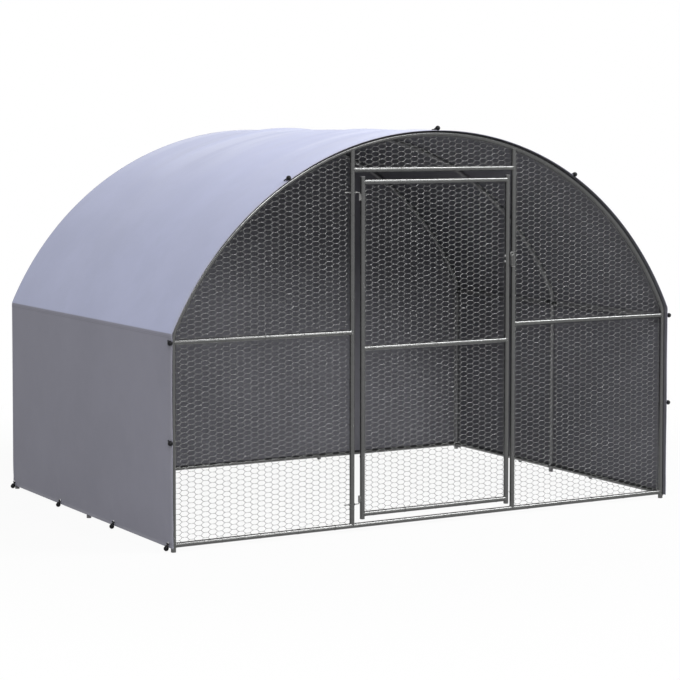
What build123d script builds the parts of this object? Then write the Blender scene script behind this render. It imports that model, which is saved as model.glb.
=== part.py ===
"""Walk-in poultry run: three tube hoops under a fabric cover, with netting and a hinged door in front.

Sizes are in millimetres. The origin is the middle of the footprint on the ground, +Z is up, and the
front with the door faces -Y.
"""

import os
from math import acos, cos, degrees, radians, sin, sqrt

from build123d import *

# Frame of round tube
tube_diameter = 25.0
span = 2942.0  # between the left and right post axes
depth = 2000.0  # between the front and rear post axes
ridge_height = 1985.0  # top of the arch's axis
eave_height = 1039.0  # where the axes of post and arch would cross
eave_bend_radius = 100.0  # of the tube's axis
hoop_sides = 10  # flats round each bent hoop tube
sill_height = 33.0  # axis of the tubes along the ground
mid_rail_drop = 17.0  # front rails, below the joint of post and arch
eave_rail_drop = 23.0  # side rails, below the same joint
seat_gap = 0.2  # between a fixed piece and the tube that it sits on

# Doorway
jamb_spacing = 970.0  # between the jamb axes
header_drop = 104.0  # below the arch's axis at the jambs

# Door leaf
hinge_gap = 35.0  # clear width between jamb and hinge stile
latch_gap = 13.0  # clear width between latch stile and jamb
door_head_gap = 24.5  # clear height under the header
door_sill_gap = 18.5  # clear height over the sill
stile_end = 23.0  # from a stile's end to the axis of the next rail
door_rail_height = 917.0  # axis of the door's middle rail

# Hook hinges
rod_diameter = 6.0
rod_hole_gap = 0.2  # round the rod, in the jamb and the nuts
rod_tail = 32.0  # rod standing out past the jamb
hinge_inset = 53.0  # from a door rail's axis to its hinge rod
hook_bend = 6.0  # cut across the corner of the bent rod
barrel_diameter = 10.0
barrel_length = 32.0
barrel_weld = 1.0  # between barrel and stile
barrel_web = 6.0
barrel_end_gap = 2.0  # between the hook's bend and the barrel
running_gap = 0.06  # round a pin that turns or slides
pin_overrun = 2.0  # pin showing past the barrel
nut_width = 10.0  # across flats
nut_thickness = 5.0
nut_sides = 6

# Latch
latch_height = 1300.0  # top of the keeper
latch_pin_diameter = 5.0
latch_pin_forward = 2.5  # pin axis, in front of the tubes
latch_pin_side = 7.5  # pin axis, beside the latch stile
latch_lift = 2.0  # pin's tip over the keeper at rest
latch_plate_thickness = 2.0
latch_plate_width = 16.0
latch_plate_height = 56.0
latch_ear_wall = 2.0  # round the pin's hole
latch_clearance = 5.0  # between the keeper and the bracket
latch_ear_spacing = 30.0
latch_ear_inset = 4.0  # ear's rear edge, in front of the tubes' axis
keeper_thickness = 3.0
eye_diameter = 22.0
eye_hole_diameter = 10.0
eye_thickness = 4.0
eye_rise = 16.0  # eye's rim over the upper ear at rest

# Wire netting
net_gap = 0.3  # behind the tubes
net_thickness = 2.0
net_strand = 6.0
net_column_pitch = 273.0
net_row_pitch = 175.0
net_twist_length = 114.0  # level side of a cell, where the wires twist
net_edge_gap = 0.5  # inside posts and arch
net_join_gap = 4.0  # between neighbours, behind a jamb
net_smallest_gap = 900.0  # in square millimetres

# Fabric cover
cover_gap = 0.5  # round the hoops
cover_thickness = 2.5
cover_overhang = 22.0  # in front of the front hoop's axis
hem_height = 20.0  # over the ground

# Ties along the cover's edges
tie_bead_width = 25.0  # across corners
tie_bead_sides = 6
tie_seat_gap = 0.3
tie_forward = 3.0  # bead's middle, past the cover's front edge
arch_tie_angle = 31.5
side_tie_height = 525.0  # lower ties of the front edge
hem_tie_drop = 4.0  # bead's middle, below the hem
hem_tie_inset = 24.0  # first tie of a side hem, behind the front hoop
hem_tie_reach = 346.0  # inner ties of a side hem, from the middle hoop
rear_tie_reach = 490.0  # ties of the rear hem, from the middle

# Lines that follow from the sizes above
tube_radius = tube_diameter / 2
half_span = span / 2
front_y = -depth / 2
rear_y = depth / 2
hoop_lines = {"front": front_y, "middle": 0.0, "rear": rear_y}
sides = {"left": -1, "right": 1}

arch_rise = ridge_height - eave_height
arch_radius = (half_span**2 + arch_rise**2) / (2 * arch_rise)
arch_center = ridge_height - arch_radius
bend_center_x = half_span - eave_bend_radius
bend_angle = acos(bend_center_x / (arch_radius - eave_bend_radius))
joint_height = arch_center + (arch_radius - eave_bend_radius) * sin(bend_angle)
mid_rail_height = joint_height - mid_rail_drop
eave_rail_height = joint_height - eave_rail_drop


def arch_height(radius, x):
    """Height of a circle about the arch's centre, at a distance x from the middle."""
    return arch_center + sqrt(radius**2 - x**2)


jamb_x = jamb_spacing / 2
jamb_top = arch_height(arch_radius, jamb_x)
header_height = jamb_top - header_drop
hinge_stile_x = -jamb_x + tube_diameter + hinge_gap
latch_stile_x = jamb_x - tube_diameter - latch_gap
door_bottom = sill_height + tube_radius + door_sill_gap
door_top = header_height - tube_radius - door_head_gap
door_rail_heights = {
    "bottom": door_bottom + stile_end,
    "middle": door_rail_height,
    "top": door_top - stile_end,
}
rod_radius = rod_diameter / 2
rod_hole_radius = rod_radius + rod_hole_gap
hinge_rods = {
    "upper": (door_rail_heights["top"] - hinge_inset, -1),
    "lower": (door_rail_heights["bottom"] + hinge_inset, 1),
}
hinge_pin_x = hinge_stile_x - tube_radius - barrel_weld - barrel_diameter / 2
latch_pin_x = latch_stile_x + tube_radius + latch_pin_side
latch_pin_y = front_y - tube_radius - latch_pin_forward
latch_hole_radius = latch_pin_diameter / 2 + running_gap
latch_ear_half = latch_hole_radius + latch_ear_wall
latch_plate_bottom = latch_height + latch_clearance
ear_heights = (latch_plate_bottom, latch_plate_bottom + latch_ear_spacing)
eye_bottom = ear_heights[1] + latch_plate_thickness + eye_rise
eye_center = eye_bottom + eye_diameter / 2

cover_inner_x = half_span + tube_radius + cover_gap
cover_outer_x = cover_inner_x + cover_thickness
cover_inner_radius = arch_radius + tube_radius + cover_gap
cover_outer_radius = cover_inner_radius + cover_thickness
cover_inner_eave = arch_height(cover_inner_radius, cover_inner_x)
cover_outer_eave = arch_height(cover_outer_radius, cover_outer_x)
cover_front = front_y - cover_overhang
cover_back = rear_y + tube_radius + cover_gap

os.makedirs("parts", exist_ok=True)


def write(piece, label):
    """Labels a finished piece and writes it under its own name."""
    piece.part.label = label
    export_step(piece.part, f"parts/{label}.step")


def upright(y):
    """Plane of a hoop at depth y, with local axes along X and Z and its normal towards the front."""
    return Plane.XZ.offset(-y)


def tube(label, start, end, saddles=(), rod_heights=()):
    """A straight tube between two axis points.

    Each saddle is a point on another tube's axis and that tube's direction: the end is coped to it.
    Rods pass through an upright tube along X at rod_heights.
    """
    run = Vector(end) - Vector(start)
    with BuildPart() as straight:
        with BuildSketch(Plane(origin=start, z_dir=run)):
            Circle(tube_radius)
        extrude(amount=run.length)
        for point, direction in saddles:
            with BuildSketch(Plane(origin=point, z_dir=direction)):
                Circle(tube_radius + seat_gap)
            extrude(amount=tube_diameter, both=True, mode=Mode.SUBTRACT)
        for height in rod_heights:
            with BuildSketch(Plane(origin=(start[0], start[1], height), z_dir=(1, 0, 0))):
                Circle(rod_hole_radius)
            extrude(amount=tube_diameter, both=True, mode=Mode.SUBTRACT)
    write(straight, label)


def rail(label, start, end):
    """A level tube coped at both ends to upright tubes."""
    up = (0, 0, 1)
    tube(label, start, end, [(start, up), (end, up)])


def brace(label, x, near, far, z):
    """A level tube along Y with square ends, between two hoops at depths near and far."""
    trim = tube_radius + seat_gap
    tube(label, (x, near + trim, z), (x, far - trim, z))


# Hoops: posts on the ground, and one bent tube across each pair
for hoop, y in hoop_lines.items():
    for side, sign in sides.items():
        foot = (sign * half_span, y, 0)
        tube(f"{hoop}_{side}_post", foot, (foot[0], y, joint_height))

    crown_x = arch_radius * cos(bend_angle)
    crown_z = arch_center + arch_radius * sin(bend_angle)
    elbow_x = bend_center_x + eave_bend_radius * cos(bend_angle / 2)
    elbow_z = joint_height + eave_bend_radius * sin(bend_angle / 2)
    with BuildPart() as arch:
        with BuildLine(upright(y)) as run:
            ThreePointArc((-half_span, joint_height), (-elbow_x, elbow_z), (-crown_x, crown_z))
            ThreePointArc((-crown_x, crown_z), (0, ridge_height), (crown_x, crown_z))
            ThreePointArc((crown_x, crown_z), (elbow_x, elbow_z), (half_span, joint_height))
        with BuildSketch(Plane(origin=(-half_span, y, joint_height), z_dir=(0, 0, 1))):
            RegularPolygon(tube_radius, hoop_sides)
        sweep(path=run.wire())
    write(arch, f"{hoop}_arch")

# Tubes from hoop to hoop
for bay, (near, far) in {"front": (front_y, 0.0), "rear": (0.0, rear_y)}.items():
    for side, sign in sides.items():
        brace(f"{side}_{bay}_sill", sign * half_span, near, far, sill_height)
        brace(f"{side}_{bay}_eave_rail", sign * half_span, near, far, eave_rail_height)
    brace(f"{bay}_ridge_tube", 0, near, far, ridge_height)

# Front and rear tubes
rail("front_sill", (-half_span, front_y, sill_height), (half_span, front_y, sill_height))
rear_sill_end = half_span - tube_radius - seat_gap
tube("rear_sill", (-rear_sill_end, rear_y, sill_height), (rear_sill_end, rear_y, sill_height))

for side, sign in sides.items():
    x = sign * jamb_x
    base = (x, front_y, sill_height)
    head = (x, front_y, jamb_top)
    along_arch = (jamb_top - arch_center, 0, -x)
    rods = [height for height, _ in hinge_rods.values()] if side == "left" else []
    tube(f"{side}_jamb", base, head, [(base, (1, 0, 0)), (head, along_arch)], rods)
    rail(
        f"{side}_mid_rail",
        (sign * half_span, front_y, mid_rail_height),
        (x, front_y, mid_rail_height),
    )
rail("header", (-jamb_x, front_y, header_height), (jamb_x, front_y, header_height))

# Door leaf
for stile, x in {"hinge_stile": hinge_stile_x, "latch_stile": latch_stile_x}.items():
    tube(stile, (x, front_y, door_bottom), (x, front_y, door_top))
for level, height in door_rail_heights.items():
    rail(f"door_{level}_rail", (hinge_stile_x, front_y, height), (latch_stile_x, front_y, height))

# Hinges: bent hooks bolted through the left jamb, turning in barrels on the door
hook_reach = hook_bend + barrel_end_gap + barrel_length + pin_overrun
with BuildPart() as hooks:
    for height, way in hinge_rods.values():
        tail_x = -jamb_x - tube_radius - rod_tail
        with BuildLine(upright(front_y)) as bent:
            Polyline(
                (tail_x, height),
                (hinge_pin_x - hook_bend, height),
                (hinge_pin_x, height + way * hook_bend),
                (hinge_pin_x, height + way * hook_reach),
            )
        with BuildSketch(Plane(origin=(tail_x, front_y, height), z_dir=(1, 0, 0))):
            Circle(rod_radius)
        sweep(path=bent.wire(), transition=Transition.RIGHT)
write(hooks, "hinge_hooks")

with BuildPart() as nuts:
    for height, _ in hinge_rods.values():
        for way in (-1, 1):
            face_x = -jamb_x + way * (tube_radius + seat_gap)
            with BuildSketch(Plane(origin=(face_x, front_y, height), z_dir=(way, 0, 0))):
                RegularPolygon(nut_width / 2, nut_sides, major_radius=False)
                Circle(rod_hole_radius, mode=Mode.SUBTRACT)
            extrude(amount=nut_thickness)
write(nuts, "hinge_nuts")

with BuildPart() as barrels:
    for height, way in hinge_rods.values():
        near_end = height + way * (hook_bend + barrel_end_gap)
        with BuildSketch(Plane(origin=(hinge_pin_x, front_y, near_end), z_dir=(0, 0, 1))):
            Circle(barrel_diameter / 2)
            web_length = hinge_stile_x - hinge_pin_x
            with Locations((web_length / 2, 0)):
                Rectangle(web_length, barrel_web)
            with Locations((web_length, 0)):
                Circle(tube_radius + seat_gap, mode=Mode.SUBTRACT)
            Circle(rod_radius + running_gap, mode=Mode.SUBTRACT)
        extrude(amount=way * barrel_length)
write(barrels, "hinge_barrels")

# Latch: a ring-headed pin, guided on the door, that drops into a keeper on the right jamb
plate_x = latch_stile_x + tube_radius + seat_gap
ear_x = latch_pin_x + latch_ear_half - plate_x
ear_front = latch_pin_y - latch_ear_half
ear_back = front_y - latch_ear_inset
with BuildPart() as bracket:
    with BuildSketch(Plane(origin=(plate_x, front_y, latch_plate_bottom), z_dir=(0, 0, 1))):
        Rectangle(latch_plate_thickness, latch_plate_width, align=(Align.MIN, Align.CENTER))
    extrude(amount=latch_plate_height)
    for height in ear_heights:
        with BuildSketch(Plane.XY.offset(height)):
            with Locations((plate_x, ear_front)):
                Rectangle(ear_x, ear_back - ear_front, align=Align.MIN)
            with Locations((latch_pin_x, latch_pin_y)):
                Circle(latch_hole_radius, mode=Mode.SUBTRACT)
        extrude(amount=latch_plate_thickness)
write(bracket, "latch_bracket")

with BuildPart() as pin:
    with BuildSketch(upright(latch_pin_y)):
        with Locations((latch_pin_x, eye_center)):
            Circle(eye_diameter / 2)
    extrude(amount=eye_thickness / 2, both=True)
    with BuildSketch(Plane(origin=(latch_pin_x, latch_pin_y, latch_height + latch_lift))):
        Circle(latch_pin_diameter / 2)
    extrude(amount=eye_center - latch_height - latch_lift)
    with BuildSketch(upright(latch_pin_y)):
        with Locations((latch_pin_x, eye_center)):
            Circle(eye_hole_diameter / 2)
    extrude(amount=eye_diameter, both=True, mode=Mode.SUBTRACT)
write(pin, "latch_pin")

with BuildPart() as keeper:
    with BuildSketch(Plane.XY.offset(latch_height)):
        with Locations((latch_pin_x - latch_ear_half, ear_front)):
            Rectangle(jamb_x - latch_pin_x + latch_ear_half, front_y - ear_front, align=Align.MIN)
        with Locations((jamb_x, front_y)):
            Circle(tube_radius + seat_gap, mode=Mode.SUBTRACT)
        with Locations((latch_pin_x, latch_pin_y)):
            Circle(latch_hole_radius, mode=Mode.SUBTRACT)
    extrude(amount=-keeper_thickness)
write(keeper, "latch_keeper")

# Netting: flat sheets of six-sided cells behind the tubes
net_y = front_y + tube_radius + net_gap
net_radius = arch_radius - tube_radius - net_edge_gap
cell_slope = net_column_pitch - net_twist_length
cell_corners = [
    (net_twist_length / 2, net_row_pitch / 2),
    (net_twist_length / 2 + cell_slope, 0),
    (net_twist_length / 2, -net_row_pitch / 2),
    (-net_twist_length / 2, -net_row_pitch / 2),
    (-net_twist_length / 2 - cell_slope, 0),
    (-net_twist_length / 2, net_row_pitch / 2),
]
with BuildSketch() as cell:
    Polygon(*cell_corners)
    offset(amount=-net_strand / 2, kind=Kind.INTERSECTION, mode=Mode.REPLACE)


def arched_outline(left, right, bottom, inset):
    """Draws a sheet's outline from two upright sides and a bottom up to the arch, drawn in by inset."""
    low_x, high_x = left + inset, right - inset
    radius = net_radius - inset
    middle_x = (low_x + high_x) / 2
    low_z, middle_z, high_z = (arch_height(radius, x) for x in (low_x, middle_x, high_x))
    with BuildLine() as edge:
        Polyline((low_x, low_z), (low_x, bottom + inset), (high_x, bottom + inset), (high_x, high_z))
        ThreePointArc((high_x, high_z), (middle_x, middle_z), (low_x, low_z))
    make_face(edge.edges())


def door_outline(left, right, bottom, inset):
    """Draws the door sheet's outline, drawn in by inset."""
    top = door_rail_heights["top"]
    with Locations(((left + right) / 2, (bottom + top) / 2)):
        Rectangle(right - left - 2 * inset, top - bottom - 2 * inset)


def netting(label, outline, left, right, bottom):
    """A net of staggered cells inside an outline with a plain border."""
    columns = range(int((right - left) / net_column_pitch) + 2)
    rows = range(int((ridge_height - bottom) / net_row_pitch) + 2)
    cells = [
        (left + i * net_column_pitch, bottom + (j + i % 2 / 2) * net_row_pitch)
        for i in columns
        for j in rows
    ]
    sheet_plane = upright(net_y + net_thickness)
    with BuildPart() as net:
        with BuildSketch(mode=Mode.PRIVATE) as window:
            outline(left, right, bottom, net_strand)
        with BuildSketch(mode=Mode.PRIVATE) as gaps:
            with Locations(*cells):
                add(cell.sketch)
            add(window.sketch, mode=Mode.INTERSECT)
        with BuildSketch(sheet_plane):
            outline(left, right, bottom, 0)
            add([gap for gap in gaps.faces() if gap.area > net_smallest_gap], mode=Mode.SUBTRACT)
        extrude(amount=net_thickness)
    write(net, label)


net_outer_x = half_span - tube_radius - net_edge_gap
net_inner_x = jamb_x + net_join_gap / 2
netting("left_net", arched_outline, -net_outer_x, -net_inner_x, sill_height)
netting("right_net", arched_outline, net_inner_x, net_outer_x, sill_height)
over_door_x = jamb_x - net_join_gap / 2
netting("over_door_net", arched_outline, -over_door_x, over_door_x, header_height)
netting("door_net", door_outline, hinge_stile_x, latch_stile_x, door_rail_heights["bottom"])

# Cover: an arched roof sheet, two walls and a rear sheet
cover_length = cover_back - cover_front
with BuildPart() as roof:
    with BuildSketch(upright(cover_back)):
        with BuildLine():
            outer = ThreePointArc(
                (-cover_outer_x, cover_outer_eave),
                (0, arch_center + cover_outer_radius),
                (cover_outer_x, cover_outer_eave),
            )
            inner = ThreePointArc(
                (-cover_inner_x, cover_inner_eave),
                (0, arch_center + cover_inner_radius),
                (cover_inner_x, cover_inner_eave),
            )
            Line(outer @ 0, inner @ 0)
            Line(outer @ 1, inner @ 1)
        make_face()
    extrude(amount=cover_length)
write(roof, "roof_cover")

for side, sign in sides.items():
    with BuildPart() as wall:
        with BuildSketch(upright(cover_back)):
            with BuildLine():
                Polyline(
                    (sign * cover_inner_x, hem_height),
                    (sign * cover_outer_x, hem_height),
                    (sign * cover_outer_x, cover_outer_eave),
                    (sign * cover_inner_x, cover_inner_eave),
                    close=True,
                )
            make_face()
        extrude(amount=cover_length)
    write(wall, f"{side}_wall_cover")

with BuildPart() as back:
    with BuildSketch(upright(cover_back + cover_thickness)):
        with BuildLine():
            Polyline(
                (-cover_outer_x, cover_outer_eave),
                (-cover_outer_x, hem_height),
                (cover_outer_x, hem_height),
                (cover_outer_x, cover_outer_eave),
            )
            ThreePointArc(
                (cover_outer_x, cover_outer_eave),
                (0, arch_center + cover_outer_radius),
                (-cover_outer_x, cover_outer_eave),
            )
        make_face()
    extrude(amount=cover_thickness)
write(back, "rear_cover")

# Tie beads: each has one flat on the cover, at its front edge or at its hem
bead_half = tie_bead_width / 2
bead_flat_half = bead_half * cos(radians(180 / tie_bead_sides))
across = (1, 0, 0)
along = (0, 1, 0)
tie_y = cover_front - tie_forward
hem_tie_z = hem_height - hem_tie_drop
tie_seats = []
for sign in sides.values():
    outward = (sign, 0, 0)
    for height in (mid_rail_height, side_tie_height):
        tie_seats.append(((sign * cover_outer_x, tie_y, height), outward, along))
    for y in (front_y + hem_tie_inset, -hem_tie_reach, hem_tie_reach, rear_y):
        tie_seats.append(((sign * cover_outer_x, y, hem_tie_z), outward, along))
    tie_seats.append(((sign * rear_tie_reach, cover_back + cover_thickness, hem_tie_z), along, across))
for angle in (-arch_tie_angle, 0, arch_tie_angle):
    outward = (sin(radians(angle)), 0, cos(radians(angle)))
    crown = (0, tie_y, arch_center)
    tie_seats.append((Vector(crown) + Vector(outward) * cover_outer_radius, outward, along))

with BuildPart() as beads:
    for seat, outward, axis in tie_seats:
        center = Vector(seat) + Vector(outward) * (bead_flat_half + tie_seat_gap)
        with BuildSketch(Plane(origin=center, x_dir=outward, z_dir=axis)):
            RegularPolygon(bead_half, tie_bead_sides, rotation=180 / tie_bead_sides)
        extrude(amount=bead_half, both=True)
write(beads, "tie_beads")

print("arch radius", round(arch_radius, 1), "eave turn", round(degrees(bend_angle), 1))
print("hoop joint", round(joint_height, 1), "header", round(header_height, 1))
print("door top", round(door_top, 1))
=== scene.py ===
"""Looks of a walk-in poultry run: stretched cover, hexagonal wire netting, zinc tube, ties and fittings.

Lengths are in metres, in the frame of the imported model: +X to the right, +Y to the rear, +Z up.
"""

from __future__ import annotations

import logging
import math
from dataclasses import dataclass, field
from enum import Enum
from typing import Callable, Iterable, Sequence

import bpy
import numpy as np
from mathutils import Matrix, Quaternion, Vector

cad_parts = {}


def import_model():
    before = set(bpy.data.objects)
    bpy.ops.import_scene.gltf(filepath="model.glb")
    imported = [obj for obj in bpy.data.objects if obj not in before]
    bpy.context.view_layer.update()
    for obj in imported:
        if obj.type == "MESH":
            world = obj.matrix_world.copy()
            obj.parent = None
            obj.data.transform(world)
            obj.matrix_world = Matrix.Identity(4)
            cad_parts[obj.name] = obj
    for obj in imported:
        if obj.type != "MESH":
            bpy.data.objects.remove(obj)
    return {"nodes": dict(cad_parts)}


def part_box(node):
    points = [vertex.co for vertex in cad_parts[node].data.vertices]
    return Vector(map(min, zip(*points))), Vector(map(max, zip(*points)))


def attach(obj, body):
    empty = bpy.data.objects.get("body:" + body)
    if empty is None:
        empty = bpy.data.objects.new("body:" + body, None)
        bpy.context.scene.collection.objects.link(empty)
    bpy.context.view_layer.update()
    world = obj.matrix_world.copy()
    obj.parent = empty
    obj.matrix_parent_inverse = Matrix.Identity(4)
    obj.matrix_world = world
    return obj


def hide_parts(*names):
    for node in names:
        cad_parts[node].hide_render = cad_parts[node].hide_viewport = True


LOG = logging.getLogger("poultry_run")
Material = bpy.types.Material
Piece = bpy.types.Object
Colour = tuple[float, float, float]
Point = tuple[float, float, float]
Span = tuple[float, float]
Rows = tuple[tuple[str, float], ...]
Region = Callable[[np.ndarray, np.ndarray], np.ndarray]

RIGHT, BACK, UP = np.eye(3)
ASKEW = (0.31, 0.87, 0.39)  # along no tube or wire of the run
FULL_TURN = 2 * math.pi
WHITE = (1.0, 1.0, 1.0)
SIDES = ("left", "right")
HOOPS = ("front", "middle", "rear")
STILES = ("hinge_stile", "latch_stile")
DOOR_RAILS = ("door_bottom_rail", "door_middle_rail", "door_top_rail")


class Body(Enum):
    """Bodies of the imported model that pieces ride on."""

    FRAME = "frame"
    DOOR = "door"
    LATCH_PIN = "latch pin"


class Slot(Enum):
    """Material slots of the record."""

    TUBE = "galvanised_tube"
    NETTING = "wire_netting"
    HARDWARE = "hardware"
    CLOTH = "cover_fabric"
    TIE = "tie_rubber"


# Shader maths


class Value:
    """A shader socket that takes part in Python arithmetic."""

    def __init__(self, graph: NodeGraph, socket: bpy.types.NodeSocket) -> None:
        """Keeps the socket and the graph that it belongs to."""
        self.graph = graph
        self.socket = socket

    def _math(self, operation: str, *terms: Value | float) -> Value:
        """Adds a Math node over the terms, in order."""
        return self.graph.node("ShaderNodeMath", {"operation": operation}, dict(enumerate(terms)))

    def __add__(self, other: Value | float) -> Value:
        """Sum."""
        return self._math("ADD", self, other)

    __radd__ = __add__

    def __sub__(self, other: Value | float) -> Value:
        """Difference."""
        return self._math("SUBTRACT", self, other)

    def __rsub__(self, other: float) -> Value:
        """Difference from a number."""
        return self._math("SUBTRACT", other, self)

    def __mul__(self, other: Value | float) -> Value:
        """Product."""
        return self._math("MULTIPLY", self, other)

    __rmul__ = __mul__

    def sine(self) -> Value:
        """Sine of the value in radians."""
        return self._math("SINE", self)

    def size(self) -> Value:
        """Value without its sign."""
        return self._math("ABSOLUTE", self)

    def smaller(self, other: Value | float) -> Value:
        """Smaller of two values."""
        return self._math("MINIMUM", self, other)

    def between(self, low: float, high: float) -> Value:
        """Smooth step from 0 at low to 1 at high."""
        inputs = {"Value": self, "From Min": low, "From Max": high}
        return self.graph.node("ShaderNodeMapRange", {"interpolation_type": "SMOOTHSTEP"}, inputs)


class NodeGraph:
    """A node tree that is filled from Python."""

    def __init__(self, owner: Material | bpy.types.World) -> None:
        """Empties the owner's node tree.

        Args:
            owner: The material or world that is filled.
        """
        owner.use_nodes = True
        self.tree = owner.node_tree
        self.tree.nodes.clear()

    def node(
        self,
        kind: str,
        settings: dict[str, object] | None = None,
        inputs: dict[str | int, object] | None = None,
        output: str | int = 0,
    ) -> Value:
        """Adds a node.

        Args:
            kind: Blender's type name of the node.
            settings: Properties that are set first.
            inputs: Values or links for its sockets, by name or number.
            output: Name or number of the socket that is given back.

        Returns:
            The output socket, or the first input of a node that has no output.
        """
        made = self.tree.nodes.new(kind)
        for key, setting in (settings or {}).items():
            setattr(made, key, setting)
        for key, given in (inputs or {}).items():
            self.feed(made.inputs[key], given)
        return Value(self, made.outputs[output] if made.outputs else made.inputs[0])

    def feed(self, socket: bpy.types.NodeSocket, given: object) -> None:
        """Gives a socket its input.

        Args:
            socket: The socket.
            given: A Value to link, or a plain number or colour.
        """
        if isinstance(given, Value):
            self.tree.links.new(given.socket, socket)
        elif socket.type == "RGBA":
            socket.default_value = (*given, 1.0)
        else:
            socket.default_value = given

    def place(self) -> Value:
        """Position on the object at rest, in metres."""
        return self.node("ShaderNodeTexCoord", output="Object")

    def seen(self) -> Value:
        """Tells which rays show the surroundings to the eye, also in metal and through glass.

        Returns:
            1 for those rays and 0 for the others.
        """
        path = self.node("ShaderNodeLightPath", output="Is Camera Ray")
        sockets = path.socket.node.outputs
        glossy = Value(self, sockets["Is Glossy Ray"])
        through = Value(self, sockets["Is Transmission Ray"])
        return (path + glossy + through).smaller(1.0)


class Shader(NodeGraph):
    """A material with a Principled shader as its surface."""

    def __init__(self, name: str) -> None:
        """Starts a material.

        Args:
            name: Its name.
        """
        self.material = bpy.data.materials.new(name)
        super().__init__(self.material)
        surface = self.node("ShaderNodeBsdfPrincipled")
        self.surface = surface.socket.node
        self.node("ShaderNodeOutputMaterial", inputs={"Surface": surface})

    def set(self, **sockets: object) -> None:
        """Feeds the Principled shader's sockets, with underscores for spaces."""
        for name, given in sockets.items():
            self.feed(self.surface.inputs[name.replace("_", " ")], given)

    def along(self, place: Value) -> tuple[Value, Value, Value]:
        """Splits a place or colour.

        Args:
            place: The place or colour.

        Returns:
            Its three parts.
        """
        parts = self.node("ShaderNodeSeparateXYZ", inputs={0: place})
        outputs = parts.socket.node.outputs
        return tuple(Value(self, outputs[axis]) for axis in "XYZ")

    def noise(self, place: Value, scale: float, detail: float = 3.0, rough: float = 0.5) -> Value:
        """Noise from 0 to 1 at a scale in cells a metre."""
        inputs = {"Vector": place, "Scale": scale, "Detail": detail, "Roughness": rough}
        return self.node("ShaderNodeTexNoise", inputs=inputs, output="Fac")

    def mix(self, share: Value | float, low: object, high: object) -> Value:
        """Colour between low and high."""
        inputs = {"Factor": share, 6: low, 7: high}
        return self.node("ShaderNodeMix", {"data_type": "RGBA"}, inputs, output=2)

    def bump(self, height: Value, strength: float, distance: float) -> Value:
        """Normal from a height."""
        inputs = {"Height": height, "Strength": strength, "Distance": distance}
        return self.node("ShaderNodeBump", inputs=inputs)


# Finishes


@dataclass(frozen=True)
class Finish:
    """A surface finish, with its own colour and the colour of its worn places."""

    name: str
    colour: Colour
    worn: Colour

    def material(self) -> Material:
        """Builds the finish.

        Returns:
            Its material.
        """
        shader = Shader(self.name)
        self.paint(shader, shader.place())
        return shader.material

    def paint(self, shader: Shader, place: Value) -> None:
        """Feeds the shader.

        Args:
            shader: Shader of the new material.
            place: Position on the object.
        """
        raise NotImplementedError


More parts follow.
